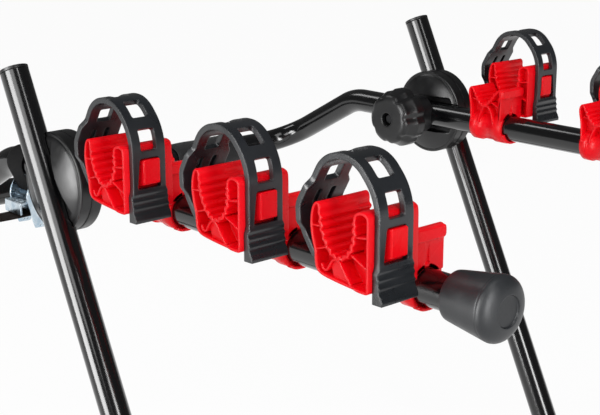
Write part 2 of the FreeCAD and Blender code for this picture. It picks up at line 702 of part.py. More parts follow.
# Side strap on the left arm: webbing loop, cam buckle and hook
def webbing_loop():
    """Closed loop of webbing round the arm, drawn in to the buckle's bar below."""
    r = TUBE_R + LOOP_CLEAR
    drop = BUCKLE_DROP
    low = LOOP_FOOT_R
    arm = -ARM_X

    def outline(grow):
        big = r + grow
        small = low + grow
        tilt = math.asin((big - small) / drop)
        dx = math.cos(tilt)
        dz = math.sin(tilt)
        return Part.Wire([
            Part.Arc(
                Vector(arm + big * dx, LOOP_Y, -big * dz),
                Vector(arm, LOOP_Y, big),
                Vector(arm - big * dx, LOOP_Y, -big * dz),
            ).toShape(),
            Part.LineSegment(
                Vector(arm - big * dx, LOOP_Y, -big * dz),
                Vector(arm - small * dx, LOOP_Y, -drop - small * dz),
            ).toShape(),
            Part.Arc(
                Vector(arm - small * dx, LOOP_Y, -drop - small * dz),
                Vector(arm, LOOP_Y, -drop - small),
                Vector(arm + small * dx, LOOP_Y, -drop - small * dz),
            ).toShape(),
            Part.LineSegment(
                Vector(arm + small * dx, LOOP_Y, -drop - small * dz),
                Vector(arm + big * dx, LOOP_Y, -big * dz),
            ).toShape(),
        ])

    width = Vector(0, WEB_WIDTH, 0)
    band = Part.Face(outline(WEB_THICK)).extrude(width).cut(Part.Face(outline(0)).extrude(width))
    band.translate(Vector(0, -WEB_WIDTH / 2, 0))
    return band


def buckle_frame():
    """Two steel side plates with a bar for the loop, a back plate and a pin for the cam."""
    arm = -ARM_X
    top = -BUCKLE_DROP
    half = BUCKLE_INSIDE / 2
    span = BUCKLE_INSIDE + 2 * BUCKLE_PLATE
    start = LOOP_Y - half - BUCKLE_PLATE
    foot = BUCKLE_FOOT - BUCKLE_H
    outline = [
        (-BUCKLE_EAR, BUCKLE_EAR),
        (BUCKLE_FOOT, BUCKLE_EAR),
        (BUCKLE_BACK_X, 0),
        (BUCKLE_BACK_X, foot + BUCKLE_TOE),
        (BUCKLE_EAR, foot),
        (-BUCKLE_TOE, foot),
        (-BUCKLE_FRONT_X, -BUCKLE_EAR),
    ]
    plates = []
    for y in (start, LOOP_Y + half):
        plate = polygon_face([Vector(arm + x, y, top + z) for x, z in outline])
        plates.append(plate.extrude(Vector(0, BUCKLE_PLATE, 0)))
    bar = rod(Vector(arm, start, top), Y_AXIS, BUCKLE_BAR_R, span)
    pin = rod(Vector(arm, start, top - CAM_DROP), Y_AXIS, CAM_PIN_R, span)
    end = start + span
    back_x = arm + BUCKLE_BACK_X
    back = box(back_x - BUCKLE_PLATE, back_x, start, end, top + foot + BUCKLE_TOE, top - BUCKLE_TOE)
    floor = box(arm - BUCKLE_FOOT, arm + BUCKLE_EAR, start, end, SIDE_WEB_Z - BUCKLE_PLATE, SIDE_WEB_Z)
    holes = [
        rod(Vector(arm + BUCKLE_EAR, start, top - BUCKLE_HOLE_DROP), Y_AXIS, BUCKLE_HOLE_R, span),
        rod(Vector(arm + BUCKLE_FOOT, start, top - RIVET_DROP), Y_AXIS, RIVET_HOLE_R, span),
    ]
    return plates[0].fuse([plates[1], bar, pin, back, floor]).cut(holes).removeSplitter()


def buckle_cam():
    """Cam with a thumb lever, on the buckle's pin."""
    arm = -ARM_X
    centre_z = -BUCKLE_DROP - CAM_DROP
    width = BUCKLE_INSIDE - 2 * SEAT_GAP
    start = Vector(arm, LOOP_Y - width / 2, centre_z)
    end_y = start.y + width
    tip = arm - CAM_LEVER
    under = centre_z + CAM_RISE
    roller = rod(start, Y_AXIS, CAM_R, width)
    lever = box(tip, arm - CAM_PLATE, start.y, end_y, under, under + CAM_PLATE)
    lip = box(tip - CAM_PLATE, tip, start.y, end_y, centre_z - CAM_LIP_DROP, under + CAM_PLATE)
    return roller.fuse([lever, lip]).cut(rod(start, Y_AXIS, CAM_PIN_R + CAM_GAP, width)).removeSplitter()


def side_webbing():
    """Webbing that leaves under the cam towards the side of the car."""
    arm = -ARM_X
    near = LOOP_Y - WEB_WIDTH / 2
    return box(arm - SIDE_RUN, arm + SIDE_TAIL, near, near + WEB_WIDTH, SIDE_WEB_Z, SIDE_WEB_Z + WEB_THICK)


def side_hook():
    """Bent strip hook with an eye bar across the webbing's end."""
    x = -ARM_X - SIDE_RUN - HOOK_BAR_R
    z = SIDE_WEB_Z + WEB_THICK / 2
    half = WEB_WIDTH / 2 + HOOK_BAR_OVER
    bar = rod(Vector(x, LOOP_Y - half, z), Y_AXIS, HOOK_BAR_R, 2 * half)
    line = [
        Vector(x, LOOP_Y, z),
        Vector(x - HOOK_REACH, LOOP_Y, z),
        Vector(x - HOOK_REACH, LOOP_Y, z + HOOK_RISE),
        Vector(x - HOOK_REACH + HOOK_RETURN, LOOP_Y, z + HOOK_RISE),
    ]
    side = Vector(0, HOOK_WIDTH / 2, 0)
    thick = Vector(0, 0, HOOK_T / 2)
    corners = [line[0] - side - thick, line[0] + side - thick, line[0] + side + thick, line[0] - side + thick]
    outline = Part.makePolygon(corners + corners[:1])
    strip = bent_path(line, [HOOK_BEND_R, HOOK_BEND_R]).makePipeShell([outline], True, False)
    return bar.fuse(strip).removeSplitter()


def at_arm(shape, reach):
    """Place a cradle piece on the right arm, a distance out from the hub."""
    placed = shape.copy()
    placed.translate(Vector(ARM_X, -reach, 0))
    return placed


def cradle_reaches(first, set_backs):
    """Distances out from the hub of the cradles on one arm."""
    return [first] + [ARM_REACH - back for back in set_backs]


def build():
    os.makedirs("parts", exist_ok=True)
    lower_bar = DOWN * UPRIGHT_LEG
    rear_bar = Vector(0, BAR_CORNER.y, BAR_CORNER.z)
    pairs = {
        "lower_frame": lower_half(),
        "arm_frame": arm_half(),
        "end_cap": end_cap(),
        "upright_plug": top_plug(),
        "lower_pad": bar_sleeve(lower_bar + X_AXIS * BUMPER_CENTRE_X, BUMPER_R, BUMPER_LEN),
        "rear_sleeve": bar_sleeve(rear_bar + X_AXIS * FOAM_CENTRE_X, FOAM_R, FOAM_LEN),
        "inner_disc": hub_disc(ARM_X, 1, Y_AXIS),
        "outer_disc": hub_disc(UPRIGHT_X, -1, DOWN),
        "saddle": saddle(),
        "hub_washer": washer(),
        "knob": knob(),
        "hub_bolt": hub_bolt(),
        "hub_insert": hub_insert(),
    }
    for name, right in pairs.items():
        write(name + "_right", right)
        write(name + "_left", mirrored(right))
    write("lower_joiner", bar_joiner(lower_bar))
    write("rear_joiner", bar_joiner(rear_bar))
    moulding = cradle()
    fixed, tongue = strap_pieces()
    lefts = cradle_reaches(FIRST_LEFT, NEXT_LEFT)
    rights = cradle_reaches(FIRST_RIGHT, NEXT_RIGHT)
    for i, (left, right) in enumerate(zip(lefts, rights), 1):
        for piece, shape in (("cradle", moulding), ("strap", fixed), ("tongue", tongue)):
            write(f"{piece}_right_{i}", at_arm(shape, right))
            write(f"{piece}_left_{i}", mirrored(at_arm(shape, left)))
    write("webbing_loop", webbing_loop())
    write("buckle_frame", buckle_frame())
    write("buckle_cam", buckle_cam())
    write("side_webbing", side_webbing())
    write("side_hook", side_hook())


build()
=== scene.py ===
import json
import math

import bpy
import numpy as np
from mathutils import Matrix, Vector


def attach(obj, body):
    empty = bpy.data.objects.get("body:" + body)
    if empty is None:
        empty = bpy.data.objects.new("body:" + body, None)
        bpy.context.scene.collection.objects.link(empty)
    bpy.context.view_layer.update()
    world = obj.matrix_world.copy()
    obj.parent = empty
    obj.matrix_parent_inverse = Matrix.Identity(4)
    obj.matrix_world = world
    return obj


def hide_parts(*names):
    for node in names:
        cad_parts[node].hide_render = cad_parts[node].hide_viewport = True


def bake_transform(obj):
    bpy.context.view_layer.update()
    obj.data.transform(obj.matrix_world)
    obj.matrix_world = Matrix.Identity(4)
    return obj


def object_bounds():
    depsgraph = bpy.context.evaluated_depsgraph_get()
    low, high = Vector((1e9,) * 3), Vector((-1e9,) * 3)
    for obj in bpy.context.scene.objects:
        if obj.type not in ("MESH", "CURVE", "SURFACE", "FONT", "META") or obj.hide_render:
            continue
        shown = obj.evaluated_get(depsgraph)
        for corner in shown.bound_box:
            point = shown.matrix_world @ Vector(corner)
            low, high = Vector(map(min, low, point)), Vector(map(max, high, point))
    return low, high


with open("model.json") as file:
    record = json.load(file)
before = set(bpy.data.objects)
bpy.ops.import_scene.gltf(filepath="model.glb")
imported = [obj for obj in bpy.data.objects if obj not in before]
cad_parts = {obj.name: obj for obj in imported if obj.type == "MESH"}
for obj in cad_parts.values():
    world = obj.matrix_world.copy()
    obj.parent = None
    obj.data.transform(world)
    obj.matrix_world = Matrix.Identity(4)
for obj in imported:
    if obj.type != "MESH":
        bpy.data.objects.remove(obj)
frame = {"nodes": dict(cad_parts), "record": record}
cad_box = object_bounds()

# The hub axis in the row frame, and the sizes that the dressed pieces share with the frame (mm)
HUB = np.array([0.0, 188.49959, 386.48144])
LEAN = math.radians(26.0)
TUBE_R = 12.5
ARM_X = 220.0
UPRIGHT_X = 252.0
UPRIGHT_TOP = 101.0
UPRIGHT_LEG = 430.0
LOWER_BEND_R = 60.0
ARM_REACH = 466.0
REAR_CORNERS = ((106.0, 0.0), (221.0, -63.0))
REAR_RADII = (57.0, 42.0)
SIDES = {"right": 1.0, "left": -1.0}
REACHES = {"left": (131.0, 264.0, 386.0), "right": (99.0, 236.0, 358.0)}
DOWN = np.array([0.0, -math.sin(LEAN), -math.cos(LEAN)])


# Surfaces: placing, closed shells, meshes, lines, rings and tubes
def place(points, side=1.0):
    """Hub-frame millimetres to row-frame metres, on the right arm or mirrored to the left one."""
    p = np.asarray(points, float).reshape(-1, 3) * np.array([side, 1.0, 1.0])
    return (p + HUB) * 0.001


def on_arm(u, v, w, reach):
    """A cradle's own u, v and w in hub-frame millimetres: u beside the arm, v along it, w up."""
    return np.stack([ARM_X + u, -reach - v, w], 1)


def unit(rows):
    """Each direction divided by its length."""
    return rows / np.linalg.norm(rows, axis=-1, keepdims=True)


def lengths(line):
    """How far along the line each of its points lies: the running sum of its steps."""
    return np.r_[0, np.cumsum(np.linalg.norm(np.diff(line, axis=0), axis=1))]


def whole_turn(count):
    """Angles at even steps round a circle."""
    return np.linspace(0, 2 * math.pi, count, endpoint=False)


def volume(points, faces):
    """Signed volume inside closed faces: a sixth of the sum of their triangles' box products."""
    total = 0.0
    for size in {len(f) for f in faces}:
        p = points[np.array([f for f in faces if len(f) == size])]
        for k in range(1, size - 1):
            total += float(np.einsum("ij,ij->i", p[:, 0], np.cross(p[:, k], p[:, k + 1])).sum())
    return total / 6


def solid(points, faces, smooth=True):
    """A closed shell with its faces turned outwards."""
    points = np.asarray(points, float)
    faces = [list(map(int, f)) for f in faces]
    if volume(points - points.mean(0), faces) < 0:
        faces = [f[::-1] for f in faces]
    return points, faces, smooth


def joined(solids):
    """Several closed shells as one list of points, faces and shading marks."""
    points, faces, smooth, base = [], [], [], 0
    for p, f, even in solids:
        points.append(p)
        faces += [[base + k for k in face] for face in f]
        smooth += [even] * len(f)
        base += len(p)
    return np.concatenate(points), faces, smooth


def linked(name, data):
    """A new object of the given data, linked to the scene."""
    obj = bpy.data.objects.new(name, data)
    bpy.context.scene.collection.objects.link(obj)
    return obj


def piece(name, verts, faces, material, uv=None, smooth=True):
    """A mesh object at the origin from row-frame points, its faces turned outwards."""
    verts, faces, _ = solid(verts, faces)
    mesh = bpy.data.meshes.new(name)
    mesh.from_pydata(verts.tolist(), [], faces)
    mesh.validate()
    if uv is not None:
        layer = mesh.uv_layers.new(name="weave")
        loops = np.empty(len(mesh.loops), np.int64)
        mesh.loops.foreach_get("vertex_index", loops)
        layer.data.foreach_set("uv", np.asarray(uv, float)[loops].ravel())
    mesh.polygons.foreach_set("use_smooth", np.broadcast_to(smooth, len(mesh.polygons)).copy())
    mesh.materials.append(material)
    return linked(name, mesh)


def quads(rows, cols, wrap_rows=False, wrap_cols=False):
    """Quads of a grid of rows x cols points, closed round either way."""
    r = np.arange(rows if wrap_rows else rows - 1)
    c = np.arange(cols if wrap_cols else cols - 1)
    i, j = (a.ravel() for a in np.meshgrid(r, c, indexing="ij"))
    a, b = i * cols + j, i * cols + (j + 1) % cols
    d, e = ((i + 1) % rows) * cols + j, ((i + 1) % rows) * cols + (j + 1) % cols
    return np.stack([a, b, e, d], 1)


def capped(rows, cols):
    """Faces of a closed stack of rings: its sides and the two end faces."""
    last = (rows - 1) * cols
    ends = [list(range(cols))[::-1], list(range(last, last + cols))]
    return quads(rows, cols, wrap_cols=True).tolist() + ends


def finish_mesh(obj, bevel=0.0, segments=2, angle=0.7):
    """Rounds the sharp edges, evens the shading and makes the result the object's own mesh."""
    if bevel:
        mod = obj.modifiers.new("edge", "BEVEL")
        mod.width = bevel
        mod.segments = segments
        mod.limit_method = "ANGLE"
        mod.angle_limit = angle
    mod = obj.modifiers.new("shade", "WEIGHTED_NORMAL")
    mod.keep_sharp = False
    done = bpy.data.meshes.new_from_object(obj.evaluated_get(bpy.context.evaluated_depsgraph_get()))
    obj.modifiers.clear()
    old = obj.data
    obj.data = done
    bpy.data.meshes.remove(old)
    return obj


def rounded_line(corners, radii, step):
    """Points of straight runs joined by tangent arcs: each arc's points are its centre plus the
    radius turned evenly from the first tangent point to the last. Corners may be in 2D or 3D."""
    corners = [np.asarray(c, float) for c in corners]
    runs = [corners[0][None]]
    for before, corner, after, radius in zip(corners, corners[1:], corners[2:], radii):
        back, ahead = unit(before - corner), unit(after - corner)
        half = math.acos(float(np.clip(back @ ahead, -1, 1))) / 2
        tangent = radius / math.tan(half)
        centre = corner + unit(back + ahead) * (radius / math.sin(half))
        turn = math.pi - 2 * half
        a = np.linspace(0, turn, max(4, int(radius * turn / step)))[:, None]
        first = corner + back * tangent - centre
        runs.append(centre + first * np.cos(a) - back * radius * np.sin(a))
    runs.append(corners[-1][None])
    return np.concatenate(runs)


def evenly(line, step=None, at=None):
    """The line sampled again at even steps of its own length, or at the given lengths."""
    length = lengths(line)
    if at is None:
        at = np.linspace(0, length[-1], max(2, int(round(length[-1] / step)) + 1))
    return np.stack([np.interp(at, length, line[:, k]) for k in range(line.shape[1])], 1)


def revolved(profile, centre, axis, across, count=64, lobes=None, closed=False):
    """Ring surface: each (along, radius) point of the profile is turned round the axis; lobes may
    change the radius with the angle, and a closed profile makes a hollow ring."""
    profile = np.asarray(profile, float)
    axis, across = np.asarray(axis, float), np.asarray(across, float)
    third = np.cross(axis, across)
    a = whole_turn(count)
    r = np.repeat(profile[:, 1:2], count, 1)
    if lobes is not None:
        r = lobes(profile[:, :1], r, a[None])
    points = (
        np.asarray(centre, float)
        + profile[:, 0][:, None, None] * axis
        + (r * np.cos(a))[..., None] * across
        + (r * np.sin(a))[..., None] * third
    )
    return points.reshape(-1, 3), quads(len(profile), count, closed, True)


def swept_tube(line, radius, count):
    """A circle of one radius carried along a line: each ring is the line's point plus the radius
    times cosine and sine of its two cross directions, which turn as little as possible."""
    ahead = unit(np.gradient(line, axis=0))
    side = np.empty_like(ahead)
    side[0] = unit(np.cross(ahead[0], [0.31, 0.2, 0.93]))
    for i in range(1, len(ahead)):
        side[i] = unit(side[i - 1] - ahead[i] * (side[i - 1] @ ahead[i]))
    up = np.cross(ahead, side)
    a = whole_turn(count)
    return line[:, None] + radius * (
        np.cos(a)[None, :, None] * side[:, None] + np.sin(a)[None, :, None] * up[:, None]
    )


# Materials, with their values on the shader's own sockets
def material(name, colour, rough, metal=0.0, specular=0.5, coat=0.0, coat_rough=0.1, sheen=0.0):
    """A principled surface with its plain values on the shader's own sockets."""
    mat = bpy.data.materials.new(name)
    mat.use_nodes = True
    s = mat.node_tree.nodes["Principled BSDF"]
    s.inputs["Base Color"].default_value = (*colour, 1)
    s.inputs["Roughness"].default_value = rough
    s.inputs["Metallic"].default_value = metal
    s.inputs["Specular IOR Level"].default_value = specular
    s.inputs["Coat Weight"].default_value = coat
    s.inputs["Coat Roughness"].default_value = coat_rough
    s.inputs["Sheen Weight"].default_value = sheen
    return mat


def wire(mat, kind, **values):
    """A new node in a material's or a world's tree. A word in_NAME or in_NUMBER joins that socket to
    the output it is given or sets it to the value, and any other word sets the node's own."""
    node = mat.node_tree.nodes.new(kind)
    for key, value in values.items():
        if not key.startswith("in_"):
            setattr(node, key, value)
            continue
        socket = key[3:].replace("_", " ")
        socket = node.inputs[int(socket) if socket.isdigit() else socket]
        if isinstance(value, bpy.types.NodeSocket):
            mat.node_tree.links.new(value, socket)
        else:
            socket.default_value = value
    return node


def grain(mat, scale, detail=3.0, stretch=(1, 1, 1)):
    """Noise over the piece, stretched where the finish has a direction."""
    place_on = wire(mat, "ShaderNodeTexCoord").outputs["Object"]
    spread = wire(mat, "ShaderNodeMapping", in_Vector=place_on, in_Scale=stretch).outputs["Vector"]
    return wire(mat, "ShaderNodeTexNoise", in_Vector=spread, in_Scale=scale, in_Detail=detail).outputs["Fac"]


def ramp_to(mat, value, target, low, high, start=0.35, end=0.65):
    """Spreads a noise between two colours or two numbers and joins it to a shader input."""
    if isinstance(low, tuple):
        node = wire(mat, "ShaderNodeValToRGB", in_Fac=value)
        for element, position, colour in zip(node.color_ramp.elements, (start, end), (low, high)):
            element.position = position
            element.color = (*colour, 1)
    else:
        ends = {"in_From_Min": start, "in_From_Max": end, "in_To_Min": low, "in_To_Max": high}
        node = wire(mat, "ShaderNodeMapRange", in_Value=value, **ends)
    mat.node_tree.links.new(node.outputs[0], mat.node_tree.nodes["Principled BSDF"].inputs[target])


def bump(mat, value, strength, distance, under=None):
    """Small relief from a height, over another relief if one is given."""
    below = {} if under is None else {"in_Normal": under}
    node = wire(mat, "ShaderNodeBump", in_Height=value, in_Strength=strength, in_Distance=distance, **below)
    relief = node.outputs["Normal"]
    mat.node_tree.links.new(relief, mat.node_tree.nodes["Principled BSDF"].inputs["Normal"])
    return relief


def soft_edges(mat, radius):
    """Rounds the normals at sharp moulded edges."""
    return wire(mat, "ShaderNodeBevel", samples=4, in_Radius=radius).outputs["Normal"]


def gloss_black_paint():
    """Black paint under a softer clear coat, with the finest orange peel."""
    black = (0.003, 0.003, 0.0035)
    mat = material("gloss_black_paint", black, 0.16, specular=0.45, coat=0.45, coat_rough=0.13)
    ramp_to(mat, grain(mat, 9.0), "Roughness", 0.13, 0.2)
    bump(mat, grain(mat, 700.0, 2.0), 0.02, 0.0001)
    return mat


def bright_red_plastic():
    """Moulded red: two close reds in slow patches, a fine grain and softened edges."""
    mat = material("bright_red_plastic", (0.9, 0.002, 0.008), 0.3, specular=0.16)
    ramp_to(mat, grain(mat, 14.0), "Base Color", (0.84, 0.001, 0.006), (0.95, 0.003, 0.012))
    ramp_to(mat, grain(mat, 60.0), "Roughness", 0.24, 0.36)
    bump(mat, grain(mat, 900.0, 2.0), 0.06, 0.0003, soft_edges(mat, 0.0007))
    return mat


def moulded_rubber(name, dark, light, rough, fine, edge, coat=0.0):
    """Rubber with a fine grain, slow waves where it left the mould, and rounded edges that shine."""
    mat = material(name, dark, rough[0], specular=0.5, coat=coat, coat_rough=0.16)
    ramp_to(mat, grain(mat, 22.0, 4.0), "Base Color", dark, light)
    ramp_to(mat, grain(mat, 45.0), "Roughness", *rough)
    waves = bump(mat, grain(mat, 160.0, 2.0), 0.1, 0.0012, soft_edges(mat, edge))
    bump(mat, grain(mat, fine, 3.0), 0.12, 0.0004, waves)
    return mat


def satin_black_plastic():
    """Moulded black with a satin grain and softened edges."""
    mat = material("satin_black_plastic", (0.006, 0.006, 0.0065), 0.33, specular=0.5)
    ramp_to(mat, grain(mat, 25.0), "Base Color", (0.0045, 0.0045, 0.005), (0.009, 0.009, 0.01))
    ramp_to(mat, grain(mat, 80.0), "Roughness", 0.28, 0.4)
    bump(mat, grain(mat, 1100.0, 2.0), 0.1, 0.0003, soft_edges(mat, 0.0006))
    return mat


def foam_skin():
    """Closed-cell foam: fine round cells from a Voronoi distance, over slow dents."""
    mat = material("foam_skin", (0.012, 0.012, 0.013), 0.85, specular=0.25, sheen=0.1)
    ramp_to(mat, grain(mat, 30.0, 4.0), "Base Color", (0.009, 0.009, 0.01), (0.02, 0.02, 0.021))
    place_on = wire(mat, "ShaderNodeTexCoord").outputs["Object"]
    cells = wire(mat, "ShaderNodeTexVoronoi", in_Vector=place_on, in_Scale=900.0)
    dents = bump(mat, grain(mat, 60.0, 3.0), 0.25, 0.0015)
    bump(mat, cells.outputs["Distance"], 0.45, 0.0006, dents)
    return mat


def zinc_plate():
    """Blue-white plated steel with a brushed relief that runs upwards."""
    mat = material("zinc_plate", (0.56, 0.66, 0.74), 0.3, metal=1.0)
    ramp_to(mat, grain(mat, 120.0, 3.0), "Base Color", (0.46, 0.58, 0.68), (0.68, 0.76, 0.82))
    ramp_to(mat, grain(mat, 200.0), "Roughness", 0.22, 0.4)
    bump(mat, grain(mat, 500.0, 2.0, (1, 1, 0.1)), 0.12, 0.0003, soft_edges(mat, 0.0004))
    return mat


def dark_steel():
    """Plain dark steel of the hub bolts."""
    mat = material("dark_steel", (0.03, 0.03, 0.032), 0.45, metal=0.8)
    ramp_to(mat, grain(mat, 300.0), "Roughness", 0.38, 0.55)
    return mat


def webbing_weave(name, dark, light):
    """Rows of ribs across the band from a sine of its length, broken by a finer sine across."""
    mat = material(name, dark, 0.8, specular=0.15)
    uv = wire(mat, "ShaderNodeUVMap", uv_map="weave").outputs["UV"]
    along, across = (
        wire(
            mat, "ShaderNodeTexWave", wave_type="BANDS", bands_direction=direction,
            in_Vector=uv, in_Scale=scale, in_Distortion=0.3,
        ).outputs["Fac"]
        for direction, scale in (("X", 320.0), ("Y", 260.0))
    )
    both = wire(mat, "ShaderNodeMath", operation="MULTIPLY", in_0=along, in_1=across).outputs["Value"]
    ramp_to(mat, both, "Base Color", dark, light, 0.0, 0.8)
    bump(mat, both, 0.8, 0.0005)
    return mat


PAINT = gloss_black_paint()
RED = bright_red_plastic()
STRAP = moulded_rubber(
    "strap_rubber", (0.009, 0.011, 0.0135), (0.0155, 0.0175, 0.0215), (0.24, 0.4), 700.0, 0.0015, 0.16,
)
CAP = moulded_rubber(
    "cap_rubber", (0.014, 0.0155, 0.018), (0.023, 0.0255, 0.029), (0.36, 0.48), 850.0, 0.0008,
)
PLASTIC = satin_black_plastic()
FOAM = foam_skin()
ZINC = zinc_plate()
WEAVE = webbing_weave("webbing_weave", (0.012, 0.0075, 0.0055), (0.042, 0.026, 0.02))
LOOP_WEAVE = webbing_weave("loop_weave", (0.004, 0.004, 0.0045), (0.012, 0.0115, 0.012))
DARK_STEEL = dark_steel()

FINISHES = {
    "black_paint": PAINT,
    "red_plastic": RED,
    "black_rubber": STRAP,
    "grey_rubber": CAP,
    "foam": FOAM,
    "black_plastic": PLASTIC,
    "zinc_steel": ZINC,
    "webbing": WEAVE,
}
slot_of = {p["node"]: p["material_slot"] for p in frame["record"]["subparts"]}
for node, obj in frame["nodes"].items():
    obj.data.materials.clear()
    obj.data.materials.append(DARK_STEEL if node.startswith("hub_bolt") else FINISHES[slot_of[node]])


# Painted tubes
TUBE_SIDES = 48
TUBE_WALL_SHARE = 0.12
TUBE_MOUTH = 15.0


def open_ended(rows):
    """A tube's rings with a wall that shows at both ends: the end ring drawn a share towards its
    centre, then carried a little way into the tube."""
    rims = []
    for ring, behind in ((rows[0], rows[1]), (rows[-1], rows[-2])):
        inner = ring + (ring.mean(0) - ring) * TUBE_WALL_SHARE
        away = behind.mean(0) - ring.mean(0)
        rims.append((inner[None], (inner + unit(away) * TUBE_MOUTH)[None]))
    (near, near_deep), (far, far_deep) = rims
    stack = np.concatenate([near_deep, near, rows, far, far_deep])
    return stack.reshape(-1, 3), quads(len(stack), TUBE_SIDES, wrap_cols=True)


def frame_tubes():
    """The four painted half frames: a circle swept along straight runs and tangent arcs."""
    middle = np.array([UPRIGHT_X, 0, 0])
    corner = middle + DOWN * UPRIGHT_LEG
    upright = [middle - DOWN * UPRIGHT_TOP, corner, corner * [0, 1, 1]]
    (y0, z0), (y1, z1) = REAR_CORNERS
    arm = [(ARM_X, -ARM_REACH, 0), (ARM_X, y0, z0), (ARM_X, y1, z1), (0, y1, z1)]
    kinds = (
        ("upright_tube_", "lower_frame_", "uprights", upright, [LOWER_BEND_R]),
        ("arm_tube_", "arm_frame_", "arms", arm, REAR_RADII),
    )
    for name, side in SIDES.items():
        for title, node, body, corners, radii in kinds:
            line = rounded_line(corners, radii, 3.0)
            points, faces = open_ended(swept_tube(line, TUBE_R, TUBE_SIDES))
            obj = piece(title + name, place(points, side), faces[:, ::-1], PAINT)
            finish_mesh(obj, 0.0008, 2, 0.9)
            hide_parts(node + name)
            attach(obj, body)


# Ladder straps: (v, w) points along the band, and (s, t) places on it when laid flat
STRAP_U = 42.0
STRAP_T = 4.4
STRAP_HALF = 15.0
STRAP_LINE = (
    (-22.9, 22.6), (-29, 22.6), (-39.5, 37), (-40.5, 55), (-19.5, 91.5), (7, 91.5), (27, 70), (27, 3),
)
STRAP_RADII = (5.0, 9.0, 12.0, 24.0, 24.0, 36.0)
LINE_STEP = 0.5
ACROSS = 12
# Windows as (from s, to s, hole) with the hole's centre, half length, half widths and corner radius
PEG_WINDOW = (22.0, 51.0, (36.5, 0, 11.6, 10.9, 8.4, 1.0))
UPPER_WINDOWS = tuple((s - 10.5, s + 10.5, (s, 0, 7.9, 7.2, 7.2, 1.4)) for s in (61.5, 86.5, 111.5))
LAST_WINDOW = (125.0, 144.0, (134.5, 0, 6.2, 6.2, 6.2, 1.4))
PLAIN_CELLS = {0.0: 34, 72.0: 3, 97.0: 3, 122.0: 2}
PAD_START, SLOT_FROM, SLOT_TO, PAD_END = 144.0, 146.5, 162.5, 198.2
SLOT_HALF_LENGTH, SLOT_HALF_WIDTH, SLOT_T = 6.4, 1.6, 4.8
PAD_SWELL = 4.0


def strap_patch(s, t):
    """Grid of (s, t) points: s runs up from the hanging end, t across the band."""
    a, b = np.meshgrid(s, t, indexing="ij")
    return np.stack([a.ravel(), b.ravel()], 1), quads(len(s), len(t))


def strap_window(s0, s1, t0, t1, hole, cells_s, cells_t, rings=3):
    """Ring of cells between a rectangle and a rounded hole in it: each point is the rectangle's
    point moved a share of the way to the hole's matching point. The hole is given as its (s, t)
    centre, half length, half width at its low and high end, and corner radius."""
    cs, ct, hs, low, high, corner = hole
    k = np.linspace(-1, 1, cells_t + 1)[:-1]
    m = np.linspace(-1, 1, cells_s + 1)[:-1]
    p = np.r_[np.full(cells_t, -1.0), m, np.full(cells_t, 1.0), -m]
    q = np.r_[k, np.full(cells_s, 1.0), -k, np.full(cells_s, -1.0)]
    outer = np.stack([(s0 + s1) / 2 + p * (s1 - s0) / 2, (t0 + t1) / 2 + q * (t1 - t0) / 2], 1)
    x, y = p * hs, q * (low + high) / 2
    wide = (low + high) / 2
    ex, ey = np.maximum(abs(x) - (hs - corner), 0), np.maximum(abs(y) - (wide - corner), 0)
    far = np.maximum(np.hypot(ex, ey), 1e-9)
    both = (ex > 0) & (ey > 0)
    shrink = np.where(both, corner / far, 1.0)
    x = np.where(both, np.sign(x) * (hs - corner + ex * shrink), x)
    y = np.where(both, np.sign(y) * (wide - corner + ey * shrink), y)
    y = y * (low + (high - low) * (x / hs + 1) / 2) / wide
    inner = np.stack([cs + x, ct + y], 1)
    share = np.linspace(0, 1, rings + 1)[:, None, None]
    points = outer + (inner - outer) * share
    return points.reshape(-1, 2), quads(rings + 1, len(p), wrap_cols=True)


def strap_plan():
    """The flat band: plain stretches and window cells, sewn along their shared (s, t) points."""
    t = np.linspace(-STRAP_HALF, STRAP_HALF, ACROSS + 1)
    parts = []
    at = 0.0
    for s0, s1, hole in (PEG_WINDOW, *UPPER_WINDOWS, LAST_WINDOW):
        if s0 - at > 0.01:
            parts.append(strap_patch(np.linspace(at, s0, PLAIN_CELLS[at] + 1), t))
        parts.append(strap_window(s0, s1, -STRAP_HALF, STRAP_HALF, hole, 12, ACROSS))
        at = s1
    parts.append(strap_patch(np.linspace(PAD_START, SLOT_FROM, 3), t))
    for t0, t1, middle in ((-STRAP_HALF, 0, -SLOT_T), (0, STRAP_HALF, SLOT_T)):
        centre = (SLOT_FROM + SLOT_TO) / 2
        slot = (centre, middle, SLOT_HALF_LENGTH, SLOT_HALF_WIDTH, SLOT_HALF_WIDTH, 1.5)
        parts.append(strap_window(SLOT_FROM, SLOT_TO, t0, t1, slot, 8, ACROSS // 2))
    parts.append(strap_patch(np.linspace(SLOT_TO, PAD_END, 26), t))
    points, faces, base = [], [], 0
    for p, f in parts:
        points.append(p)
        faces.append(f + base)
        base += len(p)
    points = np.concatenate(points)
    faces = np.concatenate(faces)
    keys, back = np.unique(np.round(points, 4), axis=0, return_inverse=True)
    return keys, back.ravel()[faces]


def strap_widths(s):
    """Half width along the band: the tab flares, the neck is straight, the pad swells smoothly."""
    tab = 1.5 * (1 - np.clip((s - 20) / 6, 0, 1)) ** 2
    up = np.clip((s - 138.5) / 8.0, 0, 1)
    down = np.clip((s - 170.0) / 8.0, 0, 1)
    swell = up * up * (3 - 2 * up) * (1 - down * down * (3 - 2 * down))
    return STRAP_HALF + tab + PAD_SWELL * swell


def strap_outer(s):
    """Height of the outer skin over the middle line: ridges on the tab that deepen to its end."""
    ridge = np.clip((21.0 - s) / 5.0, 0, 3)
    step = ridge - np.floor(ridge)
    wedge = 0.7 + 3.1 * np.clip((23.0 - s) / 23.0, 0, 1) ** 1.5
    teeth = np.where((s < 21.0) & (s > 5.0), -1.15 * np.sin(math.pi * step) ** 0.7, 0.0)
    lip = 0.7 * np.exp(-((s - 2.5) / 1.8) ** 2)
    return STRAP_T / 2 + np.where(s < 24.0, wedge * np.clip((24.0 - s) / 1.5, 0, 1), 0.0) + teeth + lip


